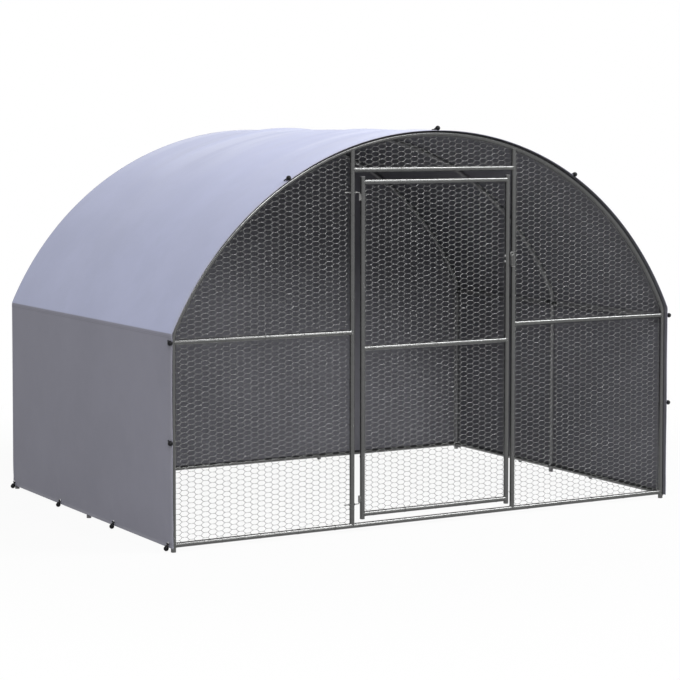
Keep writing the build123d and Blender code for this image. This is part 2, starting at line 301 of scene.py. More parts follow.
@dataclass(frozen=True)
class CoatedCloth(Finish):
    """Coated woven cloth, with its weave, soft mottling, hems and stitching, and painted light: shade in
    the weave's gaps, highlights along the hems, and a lighter, bluer roof with pale sheen streaks over its
    crown.
    """

    roughness: float = 0.46
    shine: float = 0.15
    # Lighter, bluer roof colours above the eave: painted light from above.
    roof: tuple[Colour, Colour] | None = None
    eave: float = 0.0
    crown: float = 0.0
    stitch_lines: Rows = ()
    hem_highlight_bands: Rows = ()
    gloss: float = 0.2
    gloss_roughness: float = 0.28
    thread: float = 0.0016
    stitch: float = 0.009
    stitch_edge: Span = (0.0006, 0.0014)
    stitch_share: float = 0.55
    hem_edge: float = 0.0008
    hem_highlight_share: float = 0.22
    eave_edge: float = 0.003
    crown_fade: Span = (0.32, 0.02)
    sheen_streak_stretch: Point = (0.5, 3.8, 0.5)
    sheen_streak_range: Span = (0.42, 0.6)
    sheen_streak_share: float = 0.3
    blotch_range: Span = (0.34, 0.68)
    mottle_scale: float = 3.0
    dust_scale: float = 14.0
    grain_scale: float = 260.0
    relief: float = 0.0006
    painted_sheen: Colour = (0.62, 0.645, 0.77)
    hem_highlight_colour: Colour = (0.46, 0.46, 0.52)
    thread_colour: Colour = (0.06, 0.06, 0.07)
    yarn_gap_shade: Colour = (0.02, 0.02, 0.025)

    def paint(self, shader: Shader, place: Value) -> None:
        """Feeds the shader with the cloth's colours, weave and hems, and the light and shade painted into
        them.

        Args:
            shader: Shader of the new material.
            place: Position on the cloth.
        """
        parts = dict(zip("xyz", shader.along(place)))
        turn = math.pi / self.thread
        weave = ((parts["x"] + parts["z"]) * turn).sine() * (parts["y"] * turn).sine() * 0.5 + 0.5
        mottle = shader.noise(place, self.mottle_scale, 4.0, 0.55)
        grain = shader.noise(place, self.grain_scale, 2.0)
        dust = shader.noise(place, self.dust_scale, 5.0, 0.6)
        blotch = (mottle * 0.65 + dust * 0.35).between(*self.blotch_range)
        tone = shader.mix(blotch, self.colour, self.worn)
        if self.roof:
            # Painted light: above the eave the roof is tinted lighter and bluer than the walls, for the
            # stronger light from above.
            above = parts["z"].between(self.eave - self.eave_edge, self.eave + self.eave_edge)
            tone = shader.mix(above, tone, shader.mix(blotch, *self.roof))
            # Pale painted sheen streaks over the crown, where its folds catch the light.
            creases = self._sheen_streaks(shader, place, parts["z"])
            tone = shader.mix(creases * self.sheen_streak_share, tone, self.painted_sheen)
            shader.set(Coat_Weight=above * self.gloss, Coat_Roughness=self.gloss_roughness)
        # Painted highlight: a band along each hem is painted lighter, as where the raised hem catches the
        # light.
        for axis, level in self.hem_highlight_bands:
            band = 1.0 - parts[axis].between(level - self.hem_edge, level + self.hem_edge)
            tone = shader.mix(band * self.hem_highlight_share, tone, self.hem_highlight_colour)
        # Painted shade in the gaps between the yarns of the weave.
        yarn = weave * 0.06 + grain * 0.06 + 0.91
        tone = shader.mix(1.0 - yarn, tone, self.yarn_gap_shade)
        height = weave * 0.25 + grain * 0.2 + mottle * 2.0
        for axis, level in self.stitch_lines:
            stitch = self._stitches(parts, axis, level)
            tone = shader.mix(stitch * self.stitch_share, tone, self.thread_colour)
            height = height - stitch * 1.5
        shader.set(
            Base_Color=tone,
            Roughness=grain * 0.10 + dust * 0.10 + (self.roughness - 0.10),
            Normal=shader.bump(height, 0.35, self.relief),
            Specular_IOR_Level=self.shine,
        )

    def _sheen_streaks(self, shader: Shader, place: Value, up: Value) -> Value:
        """Draws the pale streaks of the crown, a painted sheen where its folds catch the light.

        Args:
            shader: Shader of the new material.
            place: Position on the cloth.
            up: Height of that position.

        Returns:
            1 on a streak and 0 beside it or below the crown.
        """
        inputs = {0: place, 1: self.sheen_streak_stretch}
        drawn = shader.node("ShaderNodeVectorMath", {"operation": "MULTIPLY"}, inputs)
        start, full = (self.crown - below for below in self.crown_fade)
        return shader.noise(drawn, 1.0, 3.0).between(*self.sheen_streak_range) * up.between(start, full)

    def _stitches(self, parts: dict[str, Value], axis: str, level: float) -> Value:
        """Sews a dashed row of thread.

        Args:
            parts: Position on the cloth along x, y and z.
            axis: Axis that the row keeps its level on.
            level: The row's place on that axis.

        Returns:
            1 on a stitch and 0 elsewhere.
        """
        run = parts["x"] + parts["z"] if axis == "y" else parts["y"] + parts["x"]
        row = 1.0 - (parts[axis] - level).size().between(*self.stitch_edge)
        return row * (run * (FULL_TURN / self.stitch)).sine().between(-0.5, 0.1)


@dataclass(frozen=True)
class ZincCoat(Finish):
    """Zinc on steel: spangle, fine scratches and dull patches."""

    roughness: float
    metallic: float
    spangle: float = 90.0
    patch_scale: float = 6.0
    scratch_scale: float = 420.0
    dull_range: Span = (0.3, 0.75)
    relief: float = 0.0003

    def paint(self, shader: Shader, place: Value) -> None:
        """Feeds the shader with the zinc's crystals and scratches.

        Args:
            shader: Shader of the new material.
            place: Position on the metal.
        """
        inputs = {"Vector": place, "Scale": self.spangle, "Randomness": 1.0}
        crystals = shader.node("ShaderNodeTexVoronoi", {"feature": "F1"}, inputs, output="Color")
        red, green, _ = shader.along(crystals)
        patches = shader.noise(place, self.patch_scale, 4.0, 0.6)
        scratches = shader.noise(place, self.scratch_scale, 2.0)
        dulling = (patches * 0.7 + red * 0.3).between(*self.dull_range)
        shader.set(
            Base_Color=shader.mix(dulling, self.colour, self.worn),
            Metallic=self.metallic,
            Roughness=green * 0.03 + scratches * 0.04 + dulling * 0.05 + (self.roughness - 0.06),
            Normal=shader.bump(scratches * 0.4 + red * 0.2, 0.04, self.relief),
        )


@dataclass(frozen=True)
class Moulding(Finish):
    """Moulded plastic or braided rubber, a little scuffed."""

    roughness: float
    braid: float = 0.0
    shine: float = 0.2
    scuff_scale: float = 190.0
    grain_scale: float = 900.0
    scuff_range: Span = (0.45, 0.75)
    relief: float = 0.0004

    def paint(self, shader: Shader, place: Value) -> None:
        """Feeds the shader with the scuffs, and with the braid if there is one.

        Args:
            shader: Shader of the new material.
            place: Position on the moulding.
        """
        wear = shader.noise(place, self.scuff_scale, 3.0, 0.6).between(*self.scuff_range)
        grain = shader.noise(place, self.grain_scale, 2.0)
        height = grain
        if self.braid:
            across, deep, up = shader.along(place)
            turn = FULL_TURN / self.braid
            height = grain + ((across + deep + up) * turn).sine() + ((across - deep + up) * turn).sine()
        shader.set(
            Base_Color=shader.mix(wear, self.colour, self.worn),
            Roughness=grain * 0.12 + wear * 0.1 + (self.roughness - 0.1),
            Normal=shader.bump(height, 0.25, self.relief),
            Specular_IOR_Level=self.shine,
        )


# Mesh making


def angles_round(sides: int) -> np.ndarray:
    """Angles of evenly spaced points round a circle."""
    return np.arange(sides) * (FULL_TURN / sides)


def ring_quads(count: int, sides: int, closed: bool = False) -> np.ndarray:
    """Joins rings of points.

    Args:
        count: Number of rings.
        sides: Points round each ring.
        closed: True if the last ring joins the first.

    Returns:
        The four corners of each face.
    """
    first = np.arange(count if closed else count - 1)[:, None] * sides
    around = np.arange(sides)[None, :]
    after = (around + 1) % sides
    second = (first + sides) % (count * sides)
    return np.stack([first + around, first + after, second + after, second + around], -1).reshape(-1, 4)


class MeshBag:
    """Collects vertices and faces of one piece."""

    def __init__(self) -> None:
        """Starts empty."""
        self.points: list[np.ndarray] = []
        self.faces: list[np.ndarray] = []
        self.slots: list[np.ndarray] = []
        self.count = 0

    def add(self, points: np.ndarray, faces: np.ndarray, slot: int = 0) -> None:
        """Adds points and faces.

        Args:
            points: New points.
            faces: Faces whose numbers count from the first new point.
            slot: Material slot of the faces.
        """
        self.points.append(np.asarray(points, float).reshape(-1, 3))
        self.link(np.asarray(faces, int) + self.count, slot)
        self.count += len(self.points[-1])

    def link(self, faces: np.ndarray, slot: int = 0) -> None:
        """Adds faces over points that are there already."""
        self.faces.append(faces)
        self.slots.append(np.full(len(faces), slot))

    def repeat(self, forms: np.ndarray, quads: np.ndarray) -> None:
        """Adds forms that have the same faces.

        Args:
            forms: Points, by form and by place in the form.
            quads: Faces of one form.
        """
        first = np.arange(len(forms))[:, None, None] * forms.shape[1]
        self.add(forms, (first + quads[None]).reshape(-1, 4))

    def skin(self, rings: np.ndarray, closed: bool = False, slot: int = 0) -> None:
        """Adds a skin over rings of points, with filled ends.

        Args:
            rings: Points, by ring and by place round the ring.
            closed: True if the last ring joins the first.
            slot: Material slot of its faces.
        """
        count, sides = rings.shape[:2]
        start = self.count
        self.add(rings, ring_quads(count, sides, closed), slot)
        if not closed:
            self._fill(start + np.arange(sides)[::-1], rings[0].mean(0), slot)
            self._fill(start + (count - 1) * sides + np.arange(sides), rings[-1].mean(0), slot)

    def _fill(self, rim: np.ndarray, centre: np.ndarray, slot: int) -> None:
        """Fills a ring with triangles.

        Args:
            rim: Numbers of the ring's points.
            centre: Point that the triangles meet in.
            slot: Material slot of the triangles.
        """
        hub = np.full(len(rim), self.count)
        self.points.append(np.asarray(centre, float).reshape(1, 3))
        self.count += 1
        self.link(np.stack([rim, np.roll(rim, -1), hub], -1), slot)

    def tube(
        self, path: np.ndarray, radius: float | np.ndarray, sides: int, closed: bool = False, slot: int = 0
    ) -> None:
        """Adds a round tube along a path.

        Args:
            path: Points of the centre line.
            radius: One radius, one for each point, or one for each point and side.
            sides: Faces round the tube.
            closed: True if the path runs back into its start.
            slot: Material slot of its faces.
        """
        path = np.asarray(path, float)
        tangent = np.roll(path, -1, 0) - np.roll(path, 1, 0)
        if not closed:
            tangent[0] = path[1] - path[0]
            tangent[-1] = path[-1] - path[-2]
        tangent /= np.linalg.norm(tangent, axis=1)[:, None]
        side = np.cross(tangent[0], ASKEW)
        first = np.empty_like(path)
        for index, direction in enumerate(tangent):
            side = side - direction * (side @ direction)
            side = side / np.linalg.norm(side)
            first[index] = side
        second = np.cross(tangent, first)
        angles = angles_round(sides)[None, :, None]
        spread = np.asarray(radius, float)
        spread = spread.reshape(spread.shape + (1,) * (2 - spread.ndim))
        spread = np.broadcast_to(spread, (len(path), sides))
        circle = np.cos(angles) * first[:, None] + np.sin(angles) * second[:, None]
        self.skin(path[:, None] + spread[..., None] * circle, closed, slot)

    def lathe(
        self,
        profile: Sequence[tuple],
        centre: Sequence[float],
        axis: Sequence[float],
        sides: int,
        closed: bool = False,
    ) -> None:
        """Adds a turned form.

        Args:
            profile: Radius and height of each ring, either of them one number or one for each side.
            centre: Point where the height is zero.
            axis: Direction of growing height.
            sides: Faces round the axis.
            closed: True if the last ring joins the first, as in a pipe.
        """
        direction = np.array(Vector(axis).normalized())
        first = np.array(Vector(direction).orthogonal().normalized())
        second = np.cross(direction, first)
        angles = angles_round(sides)[:, None]
        circle = np.cos(angles) * first + np.sin(angles) * second
        rings = []
        for radius, height in profile:
            level = np.asarray(centre) + np.reshape(height, (-1, 1)) * direction
            rings.append(level + circle * np.reshape(radius, (-1, 1)))
        self.skin(np.array(rings), closed)

    def hexagon(
        self, centre: Sequence[float], axis: Sequence[float], flats: float, height: float, sides: int = 48
    ) -> None:
        """Adds a nut or bolt head with chamfered corners.

        Args:
            centre: Middle of its lower face.
            axis: Direction from the lower to the upper face.
            flats: Width over two opposite flats.
            height: Height between the faces.
            sides: Faces round it, eight for each flat.
        """
        corner = angles_round(sides) % (math.pi / 3) - math.pi / 6
        reach = flats / 2 / np.cos(corner)
        rim = 0.48 * flats
        chamfer = (reach - rim) * math.tan(math.radians(30))
        profile = [(rim, 0.0), (reach, chamfer), (reach, height - chamfer), (rim, height)]
        self.lathe(profile, centre, axis, sides)

    def disc(
        self, centre: Sequence[float], axis: Sequence[float], radius: float, height: float, sides: int = 32
    ) -> None:
        """Adds a washer with rounded edges.

        Args:
            centre: Middle of its lower face.
            axis: Direction from the lower to the upper face.
            radius: Its radius.
            height: Height between the faces.
            sides: Faces round it.
        """
        ease = height * 0.3
        profile = [(radius - ease, 0.0), (radius, ease), (radius, height - ease), (radius - ease, height)]
        self.lathe(profile, centre, axis, sides)

    def piece(self, name: str, materials: Iterable[Material], crease: float | None = None) -> Piece:
        """Makes the Blender object.

        Args:
            name: Name of the piece.
            materials: Materials of its slots.
            crease: Edges that bend by more than this many degrees are drawn sharp.

        Returns:
            The new object.
        """
        mesh = bpy.data.meshes.new(name)
        faces = [tuple(face) for group in self.faces for face in group.tolist()]
        mesh.from_pydata(np.concatenate(self.points).tolist(), [], faces)
        for material in materials:
            mesh.materials.append(material)
        mesh.polygons.foreach_set("material_index", np.concatenate(self.slots).astype(np.int32))
        mesh.polygons.foreach_set("use_smooth", np.full(len(faces), True))
        if crease is not None:
            mesh.set_sharp_from_angle(angle=math.radians(crease))
        mesh.update()
        made = bpy.data.objects.new(name, mesh)
        bpy.context.scene.collection.objects.link(made)
        return made


def smooth_step(value: np.ndarray | float, low: float, high: float) -> np.ndarray:
    """Smooth step from 0 at low to 1 at high."""
    share = np.clip((np.asarray(value, float) - low) / (high - low), 0.0, 1.0)
    return share * share * (3.0 - 2.0 * share)


def in_space(x: np.ndarray, y: np.ndarray | float, z: np.ndarray) -> np.ndarray:
    """Points from their three parts, which spread over each other."""
    return np.stack(np.broadcast_arrays(x, y, z), -1).astype(float)


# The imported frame


@dataclass(frozen=True)
class ArchedSection:
    """A line across the run: up a wall, round the eave, over the arch and down again."""

    half_width: float
    radius: float
    centre_z: float
    bottom_z: float
    bend: float

    @property
    def turn(self) -> float:
        """Angle of the eave's bend."""
        return math.acos((self.half_width - self.bend) / (self.radius - self.bend))

    @property
    def bend_z(self) -> float:
        """Height where the wall starts to bend."""
        return self.centre_z + (self.radius - self.bend) * math.sin(self.turn)

    @property
    def half_arch(self) -> float:
        """Length from the ridge to the start of the eave's bend."""
        return (math.pi / 2 - self.turn) * self.radius

    @property
    def eave(self) -> float:
        """Length from the ridge to the end of the eave's bend."""
        return self.half_arch + self.turn * self.bend

    @property
    def half_length(self) -> float:
        """Length from the ridge to the bottom edge."""
        return self.eave + self.bend_z - self.bottom_z

    def at(self, reach: np.ndarray) -> tuple[np.ndarray, np.ndarray]:
        """Finds points at signed lengths from the ridge, left of it below zero.

        Args:
            reach: Lengths along the line from the ridge.

        Returns:
            Points (x, z) and outward directions (x, z).
        """
        sign = np.where(reach < 0, -1.0, 1.0)
        far = np.abs(reach)
        bend = self.eave - self.half_arch
        angle = math.pi / 2 - np.minimum(far, self.half_arch) / self.radius
        bent = self.turn - np.clip(far - self.half_arch, 0, bend) / self.bend
        angle = np.where(far > self.half_arch, bent, angle)
        out = np.stack([np.cos(angle), np.sin(angle)], -1)
        crown = self.radius * out + np.array([0.0, self.centre_z])
        elbow = self.bend * out + np.array([self.half_width - self.bend, self.bend_z])
        elbow[:, 1] -= np.maximum(far - self.eave, 0.0)
        points = np.where((far > self.half_arch)[:, None], elbow, crown)
        points[:, 0] *= sign
        out[:, 0] *= sign
        return points, out

    def reach_of(self, x: float, z: float, samples: int = 4001) -> float:
        """Finds the line's nearest point.

        Args:
            x: Place across the run.
            z: Height.
            samples: Points of the line that are tried.

        Returns:
            Signed length from the ridge to the nearest point.
        """
        reaches = np.linspace(-self.half_length, self.half_length, samples)
        points, _ = self.at(reaches)
        return float(reaches[np.argmin((points[:, 0] - x) ** 2 + (points[:, 1] - z) ** 2)])


@dataclass(frozen=True)
class RunFrame:
    """Lines of the tube frame and its cover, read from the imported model."""

    tube_radius: float
    half_span: float
    front_y: float
    rear_y: float
    joint_z: float
    sill_z: float
    net_y: float
    arch_centre_z: float
    arch_radius: float
    cover_x: float
    cover_radius: float
    cover_front: float
    cover_rear: float
    hem_z: float
    eave_z: float

    @classmethod
    def read(cls) -> RunFrame:
        """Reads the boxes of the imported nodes.

        Returns:
            The frame's lines.
        """
        post_low, post_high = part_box("front_right_post")
        roof_low, roof_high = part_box("roof_cover")
        wall_low, wall_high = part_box("right_wall_cover")
        half_span = (post_low.x + post_high.x) / 2
        rise = roof_high.z - wall_high.z
        cover_radius = (wall_high.x**2 + rise**2) / (2 * rise)
        return cls(
            tube_radius=(post_high.x - post_low.x) / 2,
            half_span=half_span,
            front_y=(post_low.y + post_high.y) / 2,
            rear_y=tube_axis("rear_right_post")[0][1],
            joint_z=post_high.z,
            sill_z=tube_axis("rear_sill")[0][2],
            net_y=tube_axis("left_net")[0][1],
            arch_centre_z=roof_high.z - cover_radius,
            arch_radius=cover_radius - (wall_high.x - half_span),
            cover_x=wall_high.x,
            cover_radius=cover_radius,
            cover_front=roof_low.y,
            cover_rear=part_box("rear_cover")[1].y,
            hem_z=wall_low.z,
            eave_z=wall_high.z,
        )

    @property
    def hoop(self) -> ArchedSection:
        """Centre line of a hoop above its posts.

        Returns:
            The line.
        """
        rise = self.joint_z - self.arch_centre_z
        gap = self.arch_radius**2 - self.half_span**2 - rise**2
        bend = gap / (2 * (self.arch_radius - self.half_span))
        return ArchedSection(self.half_span, self.arch_radius, self.arch_centre_z, self.joint_z, bend)


def tube_axis(node: str) -> tuple[np.ndarray, int]:
    """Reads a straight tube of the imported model.

    Args:
        node: Name of its node.

    Returns:
        Its middle, and the number of the axis that it runs along.
    """
    low, high = (np.array(corner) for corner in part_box(node))
    return (low + high) / 2, int(np.argmax(high - low))


# Cover


@dataclass(frozen=True)
class Tie:
    """One elastic tie: its ball beside the cloth's edge, and its eyelet in the cloth."""

    ball: np.ndarray
    eyelet: np.ndarray
    outward: np.ndarray
    at_front: bool

    @property
    def pull(self) -> np.ndarray:
        """Direction from the eyelet towards the ball, along the cloth.

        Returns:
            The direction, one metre long.
        """
        apart = self.ball - self.eyelet
        apart = apart - self.outward * (apart @ self.outward)
        return apart / np.linalg.norm(apart)


@dataclass(frozen=True)
class Pucker:
    """The dent and the small fan of creases where a tie pulls at the cloth."""

    dent: float = 0.0010
    dent_reach: float = 0.035
    crease: float = 0.0012
    crease_start: float = 0.05
    crease_reach: float = 0.16
    folds: float = 7.0
    spread: float = 0.9

    def relief(self, tie: Tie, points: np.ndarray) -> np.ndarray:
        """Works out how far the cloth stands out round a tie.

        Args:
            tie: The tie.
            points: Points on the cloth.

        Returns:
            Offsets along the outward direction.
        """
        apart = points - tie.eyelet
        distance = np.linalg.norm(apart, axis=-1)
        aside = np.cross(tie.outward, tie.pull)
        angle = np.arctan2(apart @ aside, -(apart @ tie.pull))
        fade = np.exp(-((distance / self.crease_reach) ** 2) - (angle / self.spread) ** 2)
        fan = np.cos(angle * self.folds) * fade * smooth_step(distance, 0.0, self.crease_start)
        return self.crease * fan - self.dent * np.exp(-((distance / self.dent_reach) ** 2))


@dataclass(frozen=True)
class Wave:
    """One set of folds over the crown of the roof."""

    height: float
    length: float
    lean: float
    bow: float
    phase: float

    def relief(self, reach: np.ndarray, depth: np.ndarray) -> np.ndarray:
        """Works out the folds.

        Args:
            reach: Lengths from the ridge.
            depth: Places along the run.

        Returns:
            Their heights, below zero in a trough.
        """
        shift = self.bow * np.sin(2.0 * reach) + self.phase
        return self.height * np.sin(FULL_TURN * (depth / self.length + self.lean * reach) + shift)


@dataclass
class CoverCloth:
    """The stretched cover: one sheet over the walls and roof, one behind, and their edges."""

    frame: RunFrame
    outer: Material
    rear: Material
    inner: Material
    thickness: float = 0.0014
    slack: float = 0.0006
    lap: float = 0.0045
    crease: float = 0.035
    sag: float = 0.007
    sag_start: Span = (0.05, 0.5)
    sag_end: float = 0.4
    fold: float = 0.0115
    fold_at_hoops: float = 0.3
    fold_sharpness: float = 1.6
    fold_spreads: tuple[Span, ...] = ((1.0, 0.62), (0.22, 1.25))
    waves: tuple[Wave, ...] = (
        Wave(1.0, 0.47, 0.10, 0.0, 0.6),
        Wave(0.7, 0.29, -0.07, 0.0, 1.9),
        Wave(0.4, 0.17, 0.0, 0.8, 0.4),
    )
    swell: float = 0.0014
    swell_turns: tuple[Point, Point] = ((2.1, 0.9, 0.0), (-1.2, 3.1, 0.5))
    hem_width: float = 0.018
    hem_rise: float = 0.0005
    hem_ease: float = 0.003
    hem_roll: float = 0.0014
    roll_sides: int = 10
    edge_step: float = 0.0015
    seam_width: float = 0.012
    seam_ease: float = 0.2
    scallop: float = 0.002
    flare: float = 0.0003
    flare_reach: float = 0.07
    across: int = 350
    deep: int = 110
    rear_across: int = 161
    rear_up: int = 131
    rear_sag: float = 0.004
    rear_sag_turns: tuple[Span, Span] = ((2.3, 0.4), (2.7, 0.9))
    rear_ripple: float = 0.0016
    rear_ripple_turns: Point = (19.0, 1.5, 1.7)
    rear_hem_ease: float = 0.004
    front_eyelet: float = 0.038
    hem_eyelet: float = 0.018
    pucker: Pucker = Pucker()
    ties: list[Tie] = field(default_factory=list)

    @property
    def section(self) -> ArchedSection:
        """Line of the cover's outer face across the run.

        Returns:
            The line.
        """
        frame = self.frame
        wide = frame.cover_x + self.slack
        radius = frame.cover_radius + self.slack
        return ArchedSection(wide, radius, frame.arch_centre_z, frame.hem_z, self.crease)

    @property
    def front(self) -> float:
        """Place of the front edge at its ties."""
        return self.frame.cover_front - self.lap

    def find_ties(self, beads: np.ndarray) -> None:
        """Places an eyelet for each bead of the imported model.

        Args:
            beads: Centres of the beads.
        """
        frame = self.frame
        section = self.section
        for ball in beads:
            x, y, z = ball
            at_front = y < frame.cover_front
            if at_front:
                (point,), (out,) = section.at(np.array([section.reach_of(x, z)]))
                eyelet = np.array([point[0], self.front + self.front_eyelet, point[1]])
                outward = np.array([out[0], 0.0, out[1]])
            elif y > frame.cover_rear:
                eyelet = np.array([x, frame.cover_rear + self.slack, frame.hem_z + self.hem_eyelet])
                outward = BACK
            else:
                side = math.copysign(1.0, x)
                eyelet = np.array([side * section.half_width, y, frame.hem_z + self.hem_eyelet])
                outward = RIGHT * side
            self.ties.append(Tie(np.array(ball), eyelet, outward, at_front))

    def _puckers(self, points: np.ndarray) -> np.ndarray:
        """Relief of the cloth round all its ties."""
        return sum(self.pucker.relief(tie, points) for tie in self.ties)

    def _relief(self, reach: np.ndarray, depth: np.ndarray) -> np.ndarray:
        """Works out how far the stretched cloth stands out from its plain line.

        Args:
            reach: Lengths from the ridge.
            depth: Places along the run.

        Returns:
            Offsets along the outward direction.
        """
        frame = self.frame
        section = self.section
        far = np.abs(reach)
        between = np.sin(FULL_TURN * (depth - frame.front_y) / (frame.rear_y - frame.front_y)) ** 2
        ended = smooth_step(far, section.half_arch - self.sag_end, section.half_arch)
        sag = self.sag * between * smooth_step(far, *self.sag_start) * (1.0 - ended)
        waves = sum(wave.relief(reach, depth) for wave in self.waves)
        highest = sum(wave.height for wave in self.waves)
        crests = (0.5 + waves / (2 * highest)) ** self.fold_sharpness
        crown = sum(share * np.exp(-((far / spread) ** 2)) for share, spread in self.fold_spreads)
        folds = self.fold * crests * crown * (self.fold_at_hoops + (1.0 - self.fold_at_hoops) * between)
        turns = (depth * deep + reach * wide + phase for deep, wide, phase in self.swell_turns)
        swell = math.prod(np.sin(turn) for turn in turns)
        past = (far - section.eave) / self.seam_width
        rise = smooth_step(past, -self.seam_ease, 0.0)
        seam = self.hem_rise * rise * (1.0 - smooth_step(past, 1.0, 1.0 + self.seam_ease))
        return folds + seam + self.swell * swell - sag

    def _loose(self, reach: np.ndarray) -> np.ndarray:
        """Tells how loose the front edge is.

        Args:
            reach: Lengths from the ridge.

        Returns:
            0 at each tie and at the hem, and 1 midway between them.
        """
        length = self.section.half_length
        spots = [self.section.reach_of(tie.ball[0], tie.ball[2]) for tie in self.ties if tie.at_front]
        limits = np.array([-length, *sorted(spots), length])
        slot = np.clip(np.searchsorted(limits, reach) - 1, 0, len(limits) - 2)
        share = (reach - limits[slot]) / (limits[slot + 1] - limits[slot])
        return np.sin(np.pi * np.clip(share, 0, 1)) ** 2

    def _grid(self) -> tuple[np.ndarray, np.ndarray]:
        """Lays out the sheet over the walls and the roof.

        Returns:
            Points of the outer face, by place across the run and along it, and their outward directions.
        """
        frame = self.frame
        section = self.section
        length = section.half_length
        hem_steps = np.array([self.edge_step, self.hem_width, self.hem_width + self.hem_ease])
        bend = np.linspace(section.half_arch, section.eave, 7)
        seam = section.eave + self.seam_width * np.array([1.0, 1.0 + self.seam_ease])
        marks = np.concatenate([bend, seam, length - hem_steps])
        reach = np.concatenate([np.linspace(-length, length, self.across + 1), marks, -marks])
        reach = np.unique(np.round(reach, 6))
        steps = hem_steps / (frame.cover_rear - self.front)
        share = np.concatenate([np.linspace(0.0, 1.0, self.deep + 1), steps, 1.0 - steps])
        share = np.unique(np.round(share, 6))
        loose = self._loose(reach)[:, None]
        front = self.front + self.scallop * loose
        depth = front + share[None, :] * (frame.cover_rear - front)
        far = np.broadcast_to(np.abs(reach)[:, None], depth.shape)
        inset = np.minimum.reduce([depth - front, frame.cover_rear - depth, length - far])
        relief = self._relief(np.broadcast_to(reach[:, None], depth.shape), depth)
        hem = 1.0 - smooth_step(inset, self.hem_width, self.hem_width + self.hem_ease)
        flare = loose * (1.0 - smooth_step(depth - front, 0.0, self.flare_reach))
        relief = relief + self.hem_rise * hem + self.flare * flare
        points, out = section.at(reach)
        base = in_space(points[:, :1], depth, points[:, 1:])
        outward = in_space(out[:, :1], 0.0, out[:, 1:])
        relief = relief + self._puckers(base)
        return base + outward * relief[..., None], np.broadcast_to(outward, base.shape)

    def build(self) -> list[Piece]:
        """Builds the sheets and their edges.

        Returns:
            The sheet over the walls and roof, its rolled front edge, the rear seam and the rear sheet.
        """
        outer, outward = self._grid()
        sheet = self._shell("cover_sheet", outer, outward, self.outer)
        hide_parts("roof_cover", "left_wall_cover", "right_wall_cover")
        middle = outer - outward * (self.thickness / 2)
        hem = self._cording("front_hem", middle[:, 0], self.rear)
        seam = self._cording("rear_seam", middle[:, -1], self.rear)
        flat = (2 * self.section.half_length, self.frame.cover_rear - self.front)
        return [sheet, hem, seam, self._close_rear()]

    def _cording(self, name: str, path: np.ndarray, material: Material) -> Piece:
        """Builds a rolled or corded edge.

        Args:
            name: Name of the piece.
            path: Line that it follows.
            material: Its finish.

        Returns:
            The edge.
        """
        bag = MeshBag()
        bag.tube(path, self.hem_roll, self.roll_sides)
        return bag.piece(name, [material])

    def _close_rear(self) -> Piece:
        """Builds the sheet behind the run.

        Returns:
            The sheet.
        """
        frame = self.frame
        section = self.section
        columns = np.linspace(-1.0, 1.0, self.rear_across)
        x = section.half_width * np.sin(columns * math.pi / 2)
        peaks = section.centre_z + np.sqrt(section.radius**2 - x**2)
        tops, _ = section.at(np.array([section.reach_of(*spot) for spot in zip(x, peaks)]))
        rows = np.linspace(0.0, 1.0, self.rear_up)[None, :]
        z = frame.hem_z + rows * (tops[:, 1:] - frame.hem_z)
        wide = np.broadcast_to(tops[:, :1], z.shape)
        rim = np.minimum(1.0 - np.abs(columns)[:, None], 1.0 - rows) * 2.0
        (turn_x, phase_x), (turn_z, phase_z) = self.rear_sag_turns
        sag = np.sin(wide * turn_x + phase_x) * np.sin(z * turn_z + phase_z) * smooth_step(rim, 0.0, 0.5)
        close, bow, slow = self.rear_ripple_turns
        ripple = np.sin(wide * close + bow * np.sin(z * slow)) * smooth_step(rim, 0.1, 0.8)
        hem = 1.0 - smooth_step(z - frame.hem_z, self.hem_width, self.hem_width + self.rear_hem_ease)
        relief = self.rear_sag * sag + self.rear_ripple * ripple + self.hem_rise * hem
        sheet = in_space(wide, frame.cover_rear + self.slack + relief, z)
        sheet[..., 1] += self._puckers(sheet)
        made = self._shell("rear_sheet", sheet, BACK, self.rear)
        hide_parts("rear_cover")
        flat = (2 * section.half_width, float(tops[:, 1].max() - frame.hem_z))
        return made

    def _shell(self, name: str, outer: np.ndarray, outward: np.ndarray, material: Material) -> Piece:
        """Gives a grid of points the cloth's thickness.

        Args:
            name: Name of the piece.
            outer: Grid of points on the outer face.
            outward: Outward directions, that spread over the grid.
            material: Finish of the outer face.

        Returns:
            The cloth.
        """
        outward = np.broadcast_to(outward, outer.shape)
        rows, columns = outer.shape[:2]
        index = np.arange(rows * columns).reshape(rows, columns)
        corners = [index[:-1, :-1], index[1:, :-1], index[1:, 1:], index[:-1, 1:]]
        quads = np.stack(corners, -1).reshape(-1, 4)
        rim = np.concatenate([index[0, :], index[1:, -1], index[-1, -2::-1], index[-2:0:-1, 0]])
        if np.cross(outer[1, 0] - outer[0, 0], outer[0, 1] - outer[0, 0]) @ outward[0, 0] < 0:
            quads = quads[:, ::-1]
            rim = rim[::-1]
        bag = MeshBag()
        bag.add(outer, quads)
        bag.add(outer - outward * self.thickness, quads[:, ::-1], slot=1)
        after = np.roll(rim, -1)
        below = rows * columns
        bag.link(np.stack([rim, after, after + below, rim + below], -1))
        return bag.piece(name, [material, self.inner])


